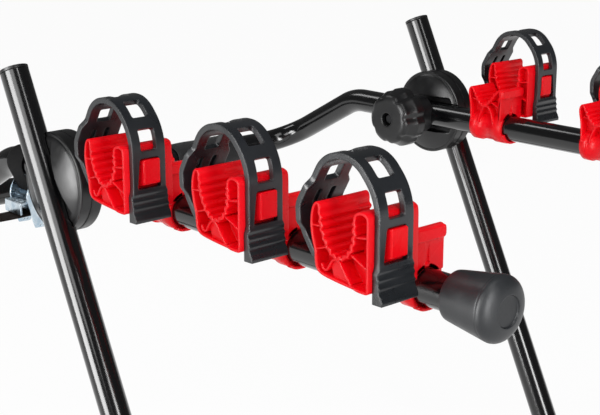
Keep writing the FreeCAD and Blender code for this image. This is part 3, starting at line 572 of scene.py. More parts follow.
def strap_line():
    """The band's middle line from its hanging end to its foot, at even steps, and its directions."""
    line = evenly(rounded_line(STRAP_LINE, STRAP_RADII, 0.8)[::-1], LINE_STEP)
    return line, unit(np.gradient(line, axis=0))


def strap_mesh(side, reach):
    """Both skins of the band along its middle line, with walls round its rim and its windows."""
    plan, faces = strap_plan()
    line, ahead = strap_line()
    length = lengths(line)
    s, t = plan[:, 0], plan[:, 1]
    v, w = (np.interp(s, length, line[:, k]) for k in (0, 1))
    tv, tw = (np.interp(s, length, ahead[:, k]) for k in (0, 1))
    norm = np.hypot(tv, tw)
    nv, nw = tw / norm, -tv / norm
    u = STRAP_U + t * strap_widths(s) / STRAP_HALF
    outer = strap_outer(s)
    skins = []
    for lift in (outer, np.full_like(outer, -STRAP_T / 2)):
        skins.append(on_arm(u, v + nv * lift, w + nw * lift, reach))
    count = len(plan)
    edges = np.concatenate([faces[:, [k, (k + 1) % 4]] for k in range(4)])
    low, high = edges.min(1), edges.max(1)
    key = low * count + high
    _, first, times = np.unique(key, return_index=True, return_counts=True)
    rim = edges[first[times == 1]]
    walls = np.stack([rim[:, 1], rim[:, 0], rim[:, 0] + count, rim[:, 1] + count], 1)
    every = np.concatenate([faces, faces[:, ::-1] + count, walls])
    return place(np.concatenate(skins), side), every


def slot_floors(reach):
    """Floors on the outside of the pad's two slots, which make them blind: thin slabs carried along
    the band's middle line."""
    line, ahead = strap_line()
    out = np.stack([ahead[:, 1], -ahead[:, 0]], 1)
    covered = slice(int((SLOT_FROM + 0.5) / LINE_STEP), int((SLOT_TO - 0.5) / LINE_STEP))
    middle_line = evenly((line + 1.2 * out)[covered], 1.5)
    half = 2 * SLOT_HALF_WIDTH
    floors = []
    for middle in (-SLOT_T, SLOT_T):
        u = STRAP_U + middle * (STRAP_HALF + PAD_SWELL) / STRAP_HALF
        points, faces, even = wall(middle_line, 1.0, u - half, u + half, 0.2)
        floors.append((on_arm(*points.T, reach), faces, even))
    return floors


def ladder_straps():
    """Six pierced bands over the cradles, each in one piece from its foot on the cradle
    to its tongue at the band's top."""
    for name, side in SIDES.items():
        for i, reach in enumerate(REACHES[name], 1):
            tag = f"{name}_{i}"
            shells = [solid(*strap_mesh(side, reach))]
            for points, faces, even in slot_floors(reach):
                shells.append(solid(place(points, side), faces, even))
            verts, faces, _ = joined(shells)
            obj = piece("ladder_strap_" + tag, verts, faces, STRAP)
            finish_mesh(obj, 0.0007, 2, 0.75)
            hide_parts("strap_" + tag, "tongue_" + tag)
            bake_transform(obj)


# Cradles
# Outlines in (v, w): the walls of the high V with its rolled rims, and of the low V on the tube
HIGH_START = (
    (11.0, 11.0), (-4.5, 12.4), (-16.5, 14.2), (-21.0, 17.0), (-22.4, 22.0), (-22.8, 28.0), (-25.2, 36.0),
    (-26.6, 44.0), (-26.3, 51.0), (-24.8, 56.5), (-22.8, 59.1), (-20.8, 59.0), (-19.7, 56.5),
)
HIGH_SEAT = (
    (-19.9, 50.5), (-19.0, 45.0), (-16.8, 38.5), (-13.0, 32.0), (-8.2, 27.6), (-2.5, 26.0), (3.2, 27.6),
    (8.2, 31.8), (11.4, 38.0), (12.8, 45.0), (12.6, 51.5),
)
HIGH_END = (
    (11.9, 55.0), (12.8, 57.8), (15.0, 59.5), (18.0, 60.0), (21.2, 59.3), (23.2, 56.6), (23.5, 44.0),
    (23.5, 24.0), (23.5, 13.0), (23.0, 10.4), (20.0, 10.0), (15.0, 10.2), (12.0, 10.8),
)
HIGH_WEBS = (
    ((-26.8, 44.5), (-19.2, 45.0)), ((-23.4, 29.2), (-12.5, 32.4)), ((12.6, 44.0), (23.2, 45.4)),
    ((8.6, 32.0), (23.2, 25.4)),
)
HIGH_ARCH = (
    (-17.4, 20.8), (-15.6, 17.6), (-12.6, 17.6), (-10.4, 20.6), (-7.6, 24.6), (-4.4, 26.0), (-1.0, 24.4),
    (2.6, 19.6), (8.6, 12.0),
)
LOW_START = (
    (-21.6, 4.0), (-21.8, 12.0), (-22.6, 22.0), (-24.4, 31.0), (-24.6, 35.6), (-23.0, 38.6), (-21.0, 38.8),
    (-19.6, 36.6),
)
LOW_SEAT = (
    (-17.8, 32.0), (-14.6, 27.0), (-10.8, 23.0), (-6.6, 21.2), (-2.2, 22.6), (2.0, 26.2), (6.0, 30.8),
    (9.0, 34.6),
)
LOW_END = (
    (11.0, 37.0), (13.2, 38.9), (15.6, 38.8), (16.9, 36.4), (16.2, 30.0), (15.2, 24.0), (14.8, 14.0),
    (14.8, 4.0),
)
LOW_WEBS = (((-21.0, 27.5), (-15.2, 27.4)), ((3.4, 26.6), (13.4, 22.0)))
LOW_ARCH = (
    (-12.4, 4.0), (-11.6, 9.0), (-8.4, 16.0), (-5.6, 20.6), (-2.4, 21.8), (0.8, 20.2), (4.4, 14.0),
    (6.6, 4.0),
)
WALL = 1.9
BACK_WAVE = 0.55
HIGH_SPAN = (17.0, 62.0)
LOW_SPAN = (-16.0, 17.5)
POCKET = 9.0
FRONT_POCKET = 11.0


def smooth_path(corners, step):
    """Catmull-Rom curve: each run between two corners is the cubic whose slopes there are half the
    chords between their neighbours; then points at even steps along it."""
    c = np.asarray(corners, float)
    c = np.concatenate([2 * c[:1] - c[1:2], c, 2 * c[-1:] - c[-2:-1]])
    t = np.linspace(0, 1, 12, endpoint=False)[:, None]
    runs = []
    for a, b, d, e in zip(c, c[1:], c[2:], c[3:]):
        square, cube = 2 * a - 5 * b + 4 * d - e, 3 * b - a - 3 * d + e
        runs.append(0.5 * (2 * b + (d - a) * t + square * t**2 + cube * t**3))
    runs.append(c[-2:-1])
    return evenly(np.concatenate(runs), step)


def wall(line, thick, low, high, edge=0.45, ribs=None):
    """A wall along a (v, w) line between two depths u: a rounded rectangle of thickness and depth
    carried along the line; ribs raise its one side by a height for each point, and its back follows
    them by a share, as a moulded wall of even thickness does."""
    ahead = unit(np.gradient(line, axis=0))
    normal = np.stack([-ahead[:, 1], ahead[:, 0]], 1)
    corner = []
    for x, y, first in ((1, 1, 0), (-1, 1, 90), (-1, -1, 180), (1, -1, 270)):
        for a in np.radians([first, first + 45, first + 90]):
            corner.append((
                x * (thick / 2 - edge) + edge * math.cos(a),
                y * ((high - low) / 2 - edge) + edge * math.sin(a),
            ))
    n, u = np.array(corner).T
    lift = np.broadcast_to(n, (len(line), len(n))).copy()
    if ribs is not None:
        lift += np.where(n > 0, 1.0, BACK_WAVE)[None] * ribs[:, None]
    vw = line[:, None] + lift[..., None] * normal[:, None]
    depth = np.broadcast_to((low + high) / 2 + u, lift.shape)
    points = np.concatenate([depth[..., None], vw], 2).reshape(-1, 3)
    return solid(points, capped(len(line), len(n)))


def slab(outline, low, high):
    """A flat-sided block: a closed (v, w) outline drawn between two depths u."""
    ends = [np.c_[np.full(len(outline), u), outline] for u in (low, high)]
    return solid(np.concatenate(ends), capped(2, len(outline)), False)


def rounded_block(low, high, edge, narrow=(0, 0, 0, 0)):
    """A pillow-edged block between two corners: rounded rectangles stacked along y, drawn in near
    both ends; narrow takes from the far end's low x, high x, low z and high z sides."""
    low, high = np.asarray(low, float), np.asarray(high, float)
    depth = high[1] - low[1]
    stations = [(edge * along, edge * inset) for along, inset in ((0, 0.6), (0, 0.35), (0.3, 0.08), (1, 0))]
    stations += [(depth - along, inset) for along, inset in stations[::-1]]
    rows = []
    for along, inset in stations:
        taken = np.array(narrow) * along / depth + inset
        x0, x1 = low[0] + taken[0], high[0] - taken[1]
        z0, z1 = low[2] + taken[2], high[2] - taken[3]
        corners = ((x1 - edge, z1 - edge, 0), (x0 + edge, z1 - edge, 90), (x0 + edge, z0 + edge, 180),
                   (x1 - edge, z0 + edge, 270))
        for x, z, first in corners:
            turn = np.radians(first + np.array([0.0, 30.0, 60.0, 90.0]))
            level = np.full(4, low[1] + along)
            rows.append(np.stack([x + edge * np.cos(turn), level, z + edge * np.sin(turn)], 1))
    return solid(np.concatenate(rows), capped(len(stations), 16))


def ribbed_rim(start, seat, end, pitch, height):
    """The V's whole wall as one line, with scalloped ribs on its seat: half sine waves whose height
    fades in and out at both ends of the seat."""
    line = smooth_path(start + seat + end, 0.42)
    run = lengths(line)
    first = run[np.argmin(np.linalg.norm(line - seat[0], axis=1))] - 3.0
    last = run[np.argmin(np.linalg.norm(line - seat[-1], axis=1))] + 3.0
    fade = np.clip((run - first) / 2.0, 0, 1) * np.clip((last - run) / 2.0, 0, 1)
    return line, fade * height * abs(np.sin(math.pi * (run - first) / pitch)) ** 0.8


def cradle_shells():
    """One cradle in its own (u, v, w): thin rolled walls, webs and arches that run in from both end
    faces to a closed core, for both the high V and the low V."""
    shells = []
    line, ribs = ribbed_rim(HIGH_START, HIGH_SEAT, HIGH_END, 5.7, 2.1)
    shells.append(wall(line, WALL, *HIGH_SPAN, ribs=ribs))
    outline = smooth_path(HIGH_START + HIGH_SEAT + HIGH_END, 2.0)
    near, far = HIGH_SPAN
    shells.append(slab(outline, near + POCKET, far - FRONT_POCKET))
    for low, high in ((far - FRONT_POCKET - 1, far - 0.3), (near + 0.3, near + POCKET + 1)):
        for start, end in HIGH_WEBS:
            shells.append(wall(evenly(np.array([start, end]), 2.0), 1.25, low, high, 0.3))
        shells.append(wall(smooth_path(HIGH_ARCH, 0.5), 1.6, low, high, 0.4))
    window = smooth_path(HIGH_ARCH[3:], 1.2)
    window = np.concatenate([window, [(8.0, 11.6), (-8.0, 13.0)]])
    shells.append(slab(window, far - FRONT_POCKET - 1, far - 2.6))

    line, ribs = ribbed_rim(LOW_START, LOW_SEAT, LOW_END, 4.6, 1.5)
    shells.append(wall(line, WALL, *LOW_SPAN, ribs=ribs))
    outline = smooth_path(LOW_START + LOW_SEAT + LOW_END, 2.0)
    near, far = LOW_SPAN
    shells.append(slab(outline, near + POCKET, far))
    shells.append(wall(smooth_path(LOW_ARCH, 0.5), 1.8, near + 0.2, near + POCKET + 1, 0.4))
    for start, end in LOW_WEBS:
        web = evenly(np.array([start, end]), 2.0)
        shells.append(wall(web, 1.2, near + 0.5, near + POCKET + 1, 0.3))
    return shells


def cradle_front():
    """Lip, pads and peg on the cradle's front, all facing outwards along the arm."""
    shells = [rounded_block((-16.2, 13.5, 31.0), (17.4, 19.4, 39.9), 2.2)]
    for low, high in ((-16.0, -1.8), (1.8, 17.2)):
        shells.append(rounded_block((low, 13.5, 9.0), (high, 17.0, 32.6), 0.9))
    shells.append(rounded_block((30.4, 23.0, 28.2), (49.6, 30.4, 50.0), 1.2, (2.4, 2.4, 3.0, 0.0)))
    return shells


def collar_shells():
    """Grip round the tube: a ring with a raised rim at each end, its section turned round the
    arm's line, and a claw that curls under the tube in front of it."""
    section = [(-24.0, 12.6), (-24.0, 15.2), (-23.4, 16.0), (-15.6, 16.0), (-15.0, 15.3), (-14.6, 14.6)]
    section += [(3.2, 14.6), (3.6, 15.3), (4.2, 16.0), (16.2, 16.0), (17.0, 15.2), (17.0, 12.6)]
    shells = [solid(*revolved(section, (0, 0, 0), (0, 1, 0), (1, 0, 0), closed=True))]
    a = np.radians(np.linspace(-158, -52, 40))
    curl = np.stack([14.5 * np.cos(a), 14.3 * np.sin(a) - 1.2 * np.clip((a - a[28]) / 0.5, 0, 1)], 1)
    points, faces, _ = wall(curl, 2.8, 14.0, 21.0, 1.0)
    shells.append(solid(points[:, [1, 0, 2]], faces))
    return shells


def cradles():
    """The same moulding six times, one on each carrier of the arms."""
    points, faces, smooth = joined(cradle_shells() + cradle_front() + collar_shells())
    for name, side in SIDES.items():
        for i, reach in enumerate(REACHES[name], 1):
            spot = place(on_arm(*points.T, reach), side)
            obj = piece(f"cradle_shell_{name}_{i}", spot, faces, RED, smooth=smooth)
            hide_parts(f"cradle_{name}_{i}")
            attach(obj, f"cradle_{name}_{i}")


# Foam sleeves and pads
def sleeve_mesh(centre, inner, outer, length, edge, seed):
    """Hollow sleeve on a bar: a rounded wall section turned round the bar, with slow dents that
    are sums of sines of the length and the angle."""
    half = length / 2
    a = np.linspace(0, math.pi / 2, 6)[1:-1]
    outer_run = np.linspace(-half + edge, half - edge, 40)
    profile = [(-half, inner), (-half, outer - edge)]
    profile += [(-half + edge - edge * math.cos(k), outer - edge + edge * math.sin(k)) for k in a]
    profile += [(x, outer) for x in outer_run]
    profile += [(half - edge + edge * math.sin(k), outer - edge + edge * math.cos(k)) for k in a]
    profile += [(half, outer - edge), (half, inner)]
    profile += [(x, inner) for x in np.linspace(half, -half, 12)[1:-1]]
    profile = np.array(profile)

    def dents(along, r, angle):
        """Radius less a share of the wave, none at the bore and most on the skin."""
        wave = np.sin(along * 0.11 + seed) * np.sin(2 * angle + seed)
        wave = wave + 0.6 * np.sin(along * 0.05 + 3 * angle + 2 * seed)
        share = np.clip((r - inner) / (outer - inner), 0, 1) ** 2
        return r + share * (0.28 * wave - 0.35)

    return revolved(profile, centre, (1, 0, 0), (0, 1, 0), 64, dents, True)


def soft_sleeves():
    """Foam on the rear bar and on the lower bar, each pair with dents of its own."""
    _, (y1, z1) = REAR_CORNERS
    low = DOWN * UPRIGHT_LEG
    kinds = (
        ("rear_sleeve_", "foam_sleeve_", (92.0, y1, z1), 17.6, 90.0, 2.4, "arms"),
        ("lower_pad_", "lower_pad_cover_", (118.0, low[1], low[2]), 21.1, 130.0, 4.5, "uprights"),
    )
    for node, title, centre, outer, length, edge, body in kinds:
        for k, (name, side) in enumerate(SIDES.items()):
            points, faces = sleeve_mesh(centre, TUBE_R + 0.05, outer, length, edge, 1.7 * k + length)
            obj = piece(title + name, place(points, side), faces[:, ::-1], FOAM)
            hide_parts(node + name)
            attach(obj, body)


# End caps and knobs
CAP_MOUTH, CAP_CONE, CAP_TIP = 428.0, 462.0, 472.0
CAP_R = 22.35
KNOB_LENGTH = 28.0
SADDLE_BACK = 30.5
WASHER_T = 1.5


def cap_profile():
    """From the mouth's bore over the cone and a shallow crease to a crowned face, whose profile is a
    superellipse of power 2.5, with a plain round recess in its middle."""
    mouth, cone, tip = CAP_MOUTH, CAP_CONE, CAP_TIP
    line = [(mouth + 34.0, 12.56), (mouth + 0.6, 12.56), (mouth, 13.2), (mouth, 16.2), (mouth + 0.7, 17.1)]
    line += [(mouth + k, 17.1 + 5.0 * k / 33.2) for k in np.linspace(3, 33.2, 9)]
    line += [(cone - 0.4, 22.05), (cone, 21.95), (cone + 0.4, 22.1)]
    dome = np.radians(np.linspace(4, 66, 30))
    line += [(cone + (tip - cone) * math.sin(a) ** 0.8, CAP_R * math.cos(a) ** 0.8) for a in dome]
    high, rim = line[-1]
    line += [(high - 0.15, rim - 0.3), (high - 0.9, rim - 0.45), (high - 1.3, rim - 0.7)]
    line += [(high - 1.4, rim - 1.2), (high - 1.4, 6.0), (high - 1.4, 3.0), (high - 1.4, 0.02)]
    return np.array(line)


def end_caps():
    """Rubber cap on each arm: its profile turned round the arm's line."""
    for name, side in SIDES.items():
        points, faces = revolved(cap_profile(), (ARM_X, 0, 0), (0, -1, 0), (1, 0, 0), 72)
        obj = piece("arm_cap_" + name, place(points, side), faces, CAP)
        finish_mesh(obj)
        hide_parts("end_cap_" + name)
        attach(obj, "arms")


def knob_profile():
    """From the bolt's well over the rolled front edge and the flared side to the back face."""
    line = [(9.0, 4.06), (9.0, 6.3), (8.6, 6.5), (1.0, 6.6), (0.3, 7.0), (0.0, 7.8)]
    line += [(0.1 * k, 7.8 + 1.9 * k) for k in range(1, 6)]
    roll = np.radians(np.linspace(8, 88, 10))
    line += [(0.6 + 6.0 * (1 - math.cos(a)), 18.6 + 7.6 * math.sin(a)) for a in roll]
    line += [(6.6 + k, 26.2 + 3.6 * (k / 9.4) ** 1.3) for k in np.linspace(0.8, 9.4, 8)]
    line += [(17.0, 30.3), (18.0, 30.5), (26.5, 30.5), (27.5, 30.1)]
    line += [(KNOB_LENGTH, 29.4), (KNOB_LENGTH, 20.0), (KNOB_LENGTH, 4.06)]
    return np.array(line)


def knob_lobes(along, r, angle):
    """Shallow flutes between wide lobes, deepest at the rim and fading over the front edge."""
    wave = (0.5 + 0.5 * np.cos(7 * angle - 2 * math.pi * 0.35)) ** 5
    share = np.clip((r - 17.0) / 11.0, 0, 1) ** 1.5
    return r - 2.7 * wave * share


def hand_knobs():
    """Lobed knob behind its washer and the arm's saddle: its profile turned round the hub axis."""
    front = ARM_X - SADDLE_BACK - WASHER_T - KNOB_LENGTH
    for name, side in SIDES.items():
        points, faces = revolved(knob_profile(), (front, 0, 0), (1, 0, 0), (0, 1, 0), 140, knob_lobes)
        obj = piece("hand_knob_" + name, place(points, side), faces, PLASTIC)
        finish_mesh(obj)
        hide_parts("knob_" + name)
        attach(obj, "knob_" + name)


# Hub discs: the rolled rim of the drum as (radius, depth) points
DISC_R = 43.4
DISC_THICK = 9.5
DISC_FACE = 15.85
DOME_R, DOME_LOW, DOME_TOP = 39.4, 2.1, 11.6
ROLLED_RIM = (
    (DISC_R, 0.0), (43.2, 0.9), (42.4, 1.3), (40.9, 1.4), (40.5, 1.0), (40.2, 1.4), (DOME_R, DOME_LOW),
)
DRUM = (
    (4.3, 9.5), (20.0, 9.5), (43.1, 9.5), (DISC_R, 9.1), (43.1, 8.8), (43.1, 8.3), (DISC_R, 7.9),
    (DISC_R, 0.0),
)
CHANNEL_GAP, CHANNEL_HALF, CHANNEL_BED = 0.35, 18.4, 3.0
DISC_STEPS = 288


def disc_mesh(tube_x, way, tube_dir):
    """Half of the hub: a drum whose closed face lies towards its partner and whose other face
    swells as the square of the radius falls, sunk along the tube to a channel that clears it."""
    rim = tube_x + way * DISC_FACE - way * DISC_THICK
    radii = np.r_[[r for r, _ in ROLLED_RIM], np.linspace(DOME_R, 0.02, 80)[1:]]
    share = np.clip(radii / DOME_R, 0, 1)
    swell = DOME_LOW + (DOME_TOP - DOME_LOW) * (1 - share**2) ** 0.92
    height = np.r_[[h for _, h in ROLLED_RIM], swell[len(ROLLED_RIM):]]
    a = whole_turn(DISC_STEPS)
    y, z = radii[:, None] * np.cos(a), radii[:, None] * np.sin(a)
    x = np.broadcast_to((rim - way * height)[:, None], y.shape)
    off = abs(y * tube_dir[2] - z * tube_dir[1])
    clear = TUBE_R + CHANNEL_GAP
    bed = tube_x + way * CHANNEL_BED
    channel = np.where(off < clear, tube_x + way * np.sqrt(np.maximum(clear**2 - off**2, 0.0)), bed)
    channel = np.where(off < CHANNEL_HALF, np.where(way * (channel - bed) > 0, channel, bed), x)
    dome = np.stack([np.where(way * (channel - x) > 0, channel, x), y, z], 2)
    drum = np.stack([
        np.stack([np.full_like(a, rim + way * h), r * np.cos(a), r * np.sin(a)], 1) for r, h in DRUM
    ])
    grid = np.concatenate([drum, dome])
    return grid.reshape(-1, 3), quads(len(grid), DISC_STEPS, wrap_cols=True)


def hub_discs():
    """An outer disc on each upright and an inner disc on each arm, face to face."""
    arm_way = np.array([0.0, -1.0, 0.0])
    kinds = (
        ("hub_shell_outer_", "outer_disc_", "uprights", UPRIGHT_X, -1.0, DOWN),
        ("hub_shell_inner_", "inner_disc_", "arms", ARM_X, 1.0, arm_way),
    )
    for name, side in SIDES.items():
        for title, node, body, tube_x, way, tube_dir in kinds:
            points, faces = disc_mesh(tube_x, way, tube_dir)
            obj = piece(title + name, place(points, side), faces, PLASTIC)
            finish_mesh(obj)
            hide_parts(node + name)
            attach(obj, body)


# Side strap: webbing, cam buckle
LOOP_Y = 84.0
WEB_HALF = 12.5
WEB_THICK = 1.5
WEB_SOLID_T = 1.6
WEB_GAP = 0.35


def band_mesh(line, across, half, thick, closed):
    """A flat band: a thin rounded section carried along a line, its width along one direction."""
    ahead = unit(np.roll(line, -1, 0) - np.roll(line, 1, 0) if closed else np.gradient(line, axis=0))
    out = unit(np.cross(ahead, across))
    a = whole_turn(32)
    wide = half * np.sign(np.cos(a)) * abs(np.cos(a)) ** 0.35
    high = thick / 2 * np.sign(np.sin(a)) * abs(np.sin(a)) ** 0.45
    points = line[:, None] + wide[None, :, None] * across + high[None, :, None] * out[:, None]
    uv = np.stack(np.broadcast_arrays(lengths(line)[:, None] * 0.001, wide[None] * 0.001), -1)
    return points.reshape(-1, 3), quads(len(line), 32, closed, True), uv.reshape(-1, 2)


BUCKLE_TOP = -23.0
BUCKLE_HALF = 13.25
PLATE_T = 1.6
CAM_DROP = 16.0
CAM_R = 6.5
CAM_WIDTH = 26.3
# Side plate in (x, z) from the bar that the loop goes round; holes as centre and half sizes
PLATE_OUTLINE = (
    (-4.0, -35.6), (-5.6, -31.0), (-8.0, -22.0), (-11.2, -10.5), (-11.4, -4.5), (-9.4, 1.6), (-6.0, 5.9),
    (-0.6, 7.7), (5.0, 7.4), (9.6, 3.9), (12.6, -0.8), (13.7, -7.0), (13.7, -23.0), (12.6, -28.4),
    (9.2, -31.6), (8.0, -35.6), (2.0, -35.9), (-4.0, -35.6),
)
PLATE_HOLES = (
    (8.2, -4.6, 2.6, 3.9), (7.6, -21.4, 2.3, 3.2), (1.2, -33.2, 0.7, 0.7), (4.6, -33.2, 0.7, 0.7),
)


def pierced_plate(outline, holes, thick, bevel):
    """A plate with holes: the filled region between flat loops, given its thickness and edge bevels,
    its doubled points sewn. Comes as (x, z, depth)."""
    curve = bpy.data.curves.new("plate", "CURVE")
    curve.dimensions = "2D"
    curve.fill_mode = "BOTH"
    curve.extrude = thick / 2 - bevel
    curve.bevel_depth = bevel
    curve.bevel_resolution = 1
    curve.offset = -bevel
    a = whole_turn(28)
    loops = [smooth_path(outline, 0.9)[:-1]]
    loops += [np.stack([x + rx * np.cos(a), z + rz * np.sin(a)], 1) for x, z, rx, rz in holes]
    for loop in loops:
        spline = curve.splines.new("POLY")
        spline.points.add(len(loop) - 1)
        spline.points.foreach_set("co", np.c_[loop, np.zeros(len(loop)), np.ones(len(loop))].ravel())
        spline.use_cyclic_u = True
    obj = linked("plate", curve)
    mesh = bpy.data.meshes.new_from_object(obj.evaluated_get(bpy.context.evaluated_depsgraph_get()))
    points = np.array([v.co[:] for v in mesh.vertices])
    faces = [list(f.vertices) for f in mesh.polygons]
    bpy.data.objects.remove(obj)
    bpy.data.curves.remove(curve)
    bpy.data.meshes.remove(mesh)
    keys, back = np.unique(np.round(points, 3), axis=0, return_inverse=True)
    sewn = [[int(k) for k in dict.fromkeys(back.ravel()[f])] for f in faces]
    return keys, [f for f in sewn if len(f) > 2]


def buckle_plates():
    """Pierced side plates with riveted bars between them, a back plate and a floor."""
    plate, faces = pierced_plate(PLATE_OUTLINE, PLATE_HOLES, PLATE_T, 0.3)
    shells = []
    for y in (LOOP_Y - BUCKLE_HALF - PLATE_T / 2, LOOP_Y + BUCKLE_HALF + PLATE_T / 2):
        points = np.stack([plate[:, 0] - ARM_X, plate[:, 2] + y, plate[:, 1] + BUCKLE_TOP], 1)
        shells.append(solid(points, faces, False))
    near, far = LOOP_Y - BUCKLE_HALF - PLATE_T, LOOP_Y + BUCKLE_HALF + PLATE_T
    for x, z, r in ((0.0, 0.0, 2.9), (0.0, -CAM_DROP, 2.2)):
        line = [(-0.9, 0.02), (-0.9, r * 0.7), (-0.6, r * 1.05), (0.0, r * 1.25), (0.3, r)]
        line += [(far - near - 0.3, r), (far - near, r * 1.25), (far - near + 0.6, r * 1.05)]
        line += [(far - near + 0.9, r * 0.7), (far - near + 0.9, 0.02)]
        centre = (x - ARM_X, near, z + BUCKLE_TOP)
        shells.append(solid(*revolved(line, centre, (0, 1, 0), (1, 0, 0), 28)))
    for (x0, z0), (x1, z1), edge in (((12.4, -31.0), (14.0, -4.6), 0.6), ((-6.0, -26.2), (8.0, -24.7), 0.5)):
        low, high = (x0 - ARM_X, near + 0.3, BUCKLE_TOP + z0), (x1 - ARM_X, far - 0.3, BUCKLE_TOP + z1)
        shells.append(rounded_block(low, high, edge))
    points, faces, smooth = joined(shells)
    obj = piece("buckle_plates", place(points), faces, ZINC, smooth=smooth)
    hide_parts("buckle_frame")
    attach(obj, "arms")


def cam_teeth(_, r, angle):
    """Radius of the cam's roller: square teeth from the sign of a sine, on its skin alone."""
    return r - 0.5 * (r > CAM_R - 1.5) * (0.5 + 0.5 * np.sign(np.sin(20 * angle)))


def buckle_lever():
    """Toothed roller on its pin with a ribbed thumb lever that turns down into a lip."""
    z, start = BUCKLE_TOP - CAM_DROP, LOOP_Y - CAM_WIDTH / 2
    line = [(0.0, 2.3), (0.0, CAM_R - 0.5), (0.5, CAM_R)]
    line += [(CAM_WIDTH - 0.5, CAM_R), (CAM_WIDTH, CAM_R - 0.5), (CAM_WIDTH, 2.3)]
    shells = [solid(*revolved(line, (-ARM_X, start, z), (0, 1, 0), (1, 0, 0), 120, cam_teeth, True))]
    blocks = [(-16.6, -2.0, 3.5, 5.5, 0.0, 0.7), (-18.0, -16.0, -6.0, 5.5, 0.0, 0.7)]
    blocks += [(x - 0.6, x + 0.6, 5.2, 6.1, 3.0, 0.35) for x in (-14.5, -12.0, -9.5)]
    for x0, x1, z0, z1, inset, edge in blocks:
        low, high = (x0 - ARM_X, start + inset, z + z0), (x1 - ARM_X, start + CAM_WIDTH - inset, z + z1)
        shells.append(rounded_block(low, high, edge))
    points, faces, smooth = joined(shells)
    obj = piece("buckle_lever", place(points), faces, ZINC, smooth=smooth)
    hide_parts("buckle_cam")
    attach(obj, "cam")


def side_strap():
    """Woven loop round the left arm and the band that leaves the buckle towards its hook."""
    across = np.array([0.0, 1.0, 0.0])
    big, small = TUBE_R + WEB_GAP + WEB_SOLID_T / 2, 3.8
    tilt = math.asin((big - small) / -BUCKLE_TOP)
    left, right = math.pi + tilt, 2 * math.pi - tilt
    ends = ((big, 0.0, -tilt, left, 60), (small, BUCKLE_TOP, left, right, 20))
    line = []
    for radius, height, first, last, count in ends:
        for a in np.linspace(first, last, count):
            line.append((radius * math.cos(a) - ARM_X, LOOP_Y, height + radius * math.sin(a)))
    line = np.array(line + line[:1])
    line = evenly(line, 1.5)[:-1]
    verts, faces, uv = band_mesh(line, across, WEB_HALF, WEB_THICK, True)
    obj = piece("arm_loop_web", place(verts), faces, LOOP_WEAVE, uv)
    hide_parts("webbing_loop")
    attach(obj, "arms")

    height = BUCKLE_TOP - CAM_DROP - CAM_R - 0.3 - WEB_SOLID_T / 2
    x = np.linspace(8.0, -50.0, 60)
    sag = 0.35 * np.sin(np.clip((x + 50) / 50, 0, 1) * math.pi) ** 2
    line = np.stack([x - ARM_X, np.full_like(x, LOOP_Y), height - sag], 1)
    verts, faces, uv = band_mesh(line, across, WEB_HALF, WEB_THICK, False)
    obj = piece("side_web", place(verts), faces, WEAVE, uv)
    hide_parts("side_webbing")
    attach(obj, "arms")


frame_tubes()
cradles()
ladder_straps()
soft_sleeves()
end_caps()
hand_knobs()
hub_discs()
buckle_plates()
buckle_lever()
side_strap()


# Stage, lights and camera
FLOOR_GLOW = 0.93
FLOOR_HALF = 40.0
RACK_MIDDLE = (0.0, 0.02, 0.34)


def floor_stage():
    """A wide pale floor that the camera, mirrors and glass see as near white, shadow kept: the
    three kinds of ray are added up, and their sum times the glow's share mixes the glow in."""
    mat = bpy.data.materials.new("pale_floor")
    mat.use_nodes = True
    mat.node_tree.nodes.clear()
    plain = wire(mat, "ShaderNodeBsdfDiffuse", in_Color=(0.9, 0.9, 0.9, 1)).outputs[0]
    glow = wire(mat, "ShaderNodeEmission", in_Color=(1, 1, 1, 1), in_Strength=1.0).outputs[0]
    rays = wire(mat, "ShaderNodeLightPath").outputs
    share = rays["Is Camera Ray"]
    for ray in ("Is Glossy Ray", "Is Transmission Ray"):
        share = wire(mat, "ShaderNodeMath", operation="ADD", in_0=share, in_1=rays[ray]).outputs[0]
    share = wire(mat, "ShaderNodeMath", operation="MULTIPLY", in_0=share, in_1=FLOOR_GLOW).outputs[0]
    mix = wire(mat, "ShaderNodeMixShader", in_0=share, in_1=plain, in_2=glow).outputs[0]
    wire(mat, "ShaderNodeOutputMaterial", in_Surface=mix)
    z = cad_box[0][2] - 0.001
    corners = [(x * FLOOR_HALF, y * FLOOR_HALF, z) for x, y in ((-1, -1), (1, -1), (1, 1), (-1, 1))]
    piece("floor", corners, [(0, 1, 2, 3)], mat)


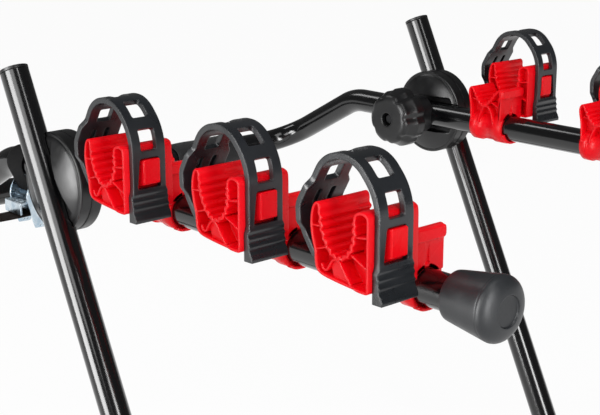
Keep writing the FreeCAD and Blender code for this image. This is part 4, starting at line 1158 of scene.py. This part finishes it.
def studio_world():
    """Plain pale light all round, dark in mirrors, white where the camera looks past the floor."""
    world = bpy.data.worlds.new("studio")
    bpy.context.scene.world = world
    world.use_nodes = True
    back = world.node_tree.nodes["Background"]
    back.inputs["Color"].default_value = (1, 1, 1, 1)
    rays = wire(world, "ShaderNodeLightPath").outputs
    level = 0.55
    for ray, lit in (("Is Glossy Ray", 0.1), ("Is Camera Ray", 1.0)):
        ends = {"in_To_Min": level, "in_To_Max": lit}
        level = wire(world, "ShaderNodeMapRange", in_Value=rays[ray], **ends).outputs["Result"]
    world.node_tree.links.new(level, back.inputs["Strength"])


def softbox(name, towards, distance, width, height, radiance, card=False):
    """An area light at a distance from the rack's middle, facing it; power follows its size. A
    card only shows in gloss, as a reflector panel beside the set does."""
    back = unit(np.asarray(towards, float))
    light = bpy.data.lights.new(name, "AREA")
    light.shape = "RECTANGLE"
    light.size = width
    light.size_y = height
    light.energy = radiance * math.pi * width * height
    obj = linked(name, light)
    obj.visible_diffuse = not card
    right = unit(np.cross([0, 0, 1.0], back))
    spot = np.array(RACK_MIDDLE) + back * distance
    axes = np.stack([right, np.cross(back, right), back, spot], 1)
    obj.matrix_world = Matrix([*axes.tolist(), (0, 0, 0, 1)])


def photo_camera():
    """The camera of the photograph: 15 degrees above and 42.5 degrees beside the arms' direction."""
    camera = bpy.data.cameras.new("camera")
    camera.sensor_fit = "HORIZONTAL"
    camera.sensor_width = 36.0
    camera.lens = 81.15
    camera.clip_start = 0.05
    view = linked("camera", camera)
    view.location = (-0.84494, -0.77509, 0.66303)
    view.rotation_euler = (math.radians(90 - 14.98), 0.0, math.radians(-42.49))
    bpy.context.scene.camera = view


floor_stage()
studio_world()
softbox("left_box", (-0.9, -0.3, 0.45), 2.0, 0.9, 0.9, 3.6)
softbox("left_card", (-0.98, 0.14, -0.04), 1.5, 0.7, 1.6, 13.0, card=True)
softbox("back_top", (-0.165, 0.712, 0.70), 2.4, 0.4, 1.0, 4.6)
softbox("front_strip", (-0.24, -0.89, 0.395), 2.1, 0.22, 1.9, 8.0)
softbox("front_card", (-0.27, -0.93, 0.1), 2.05, 0.62, 1.2, 11.0, card=True)
softbox("overhead", (-0.3, -0.5, 1.3), 2.2, 1.1, 1.1, 2.4)

photo_camera()
bpy.context.scene.view_settings.view_transform = "Standard"
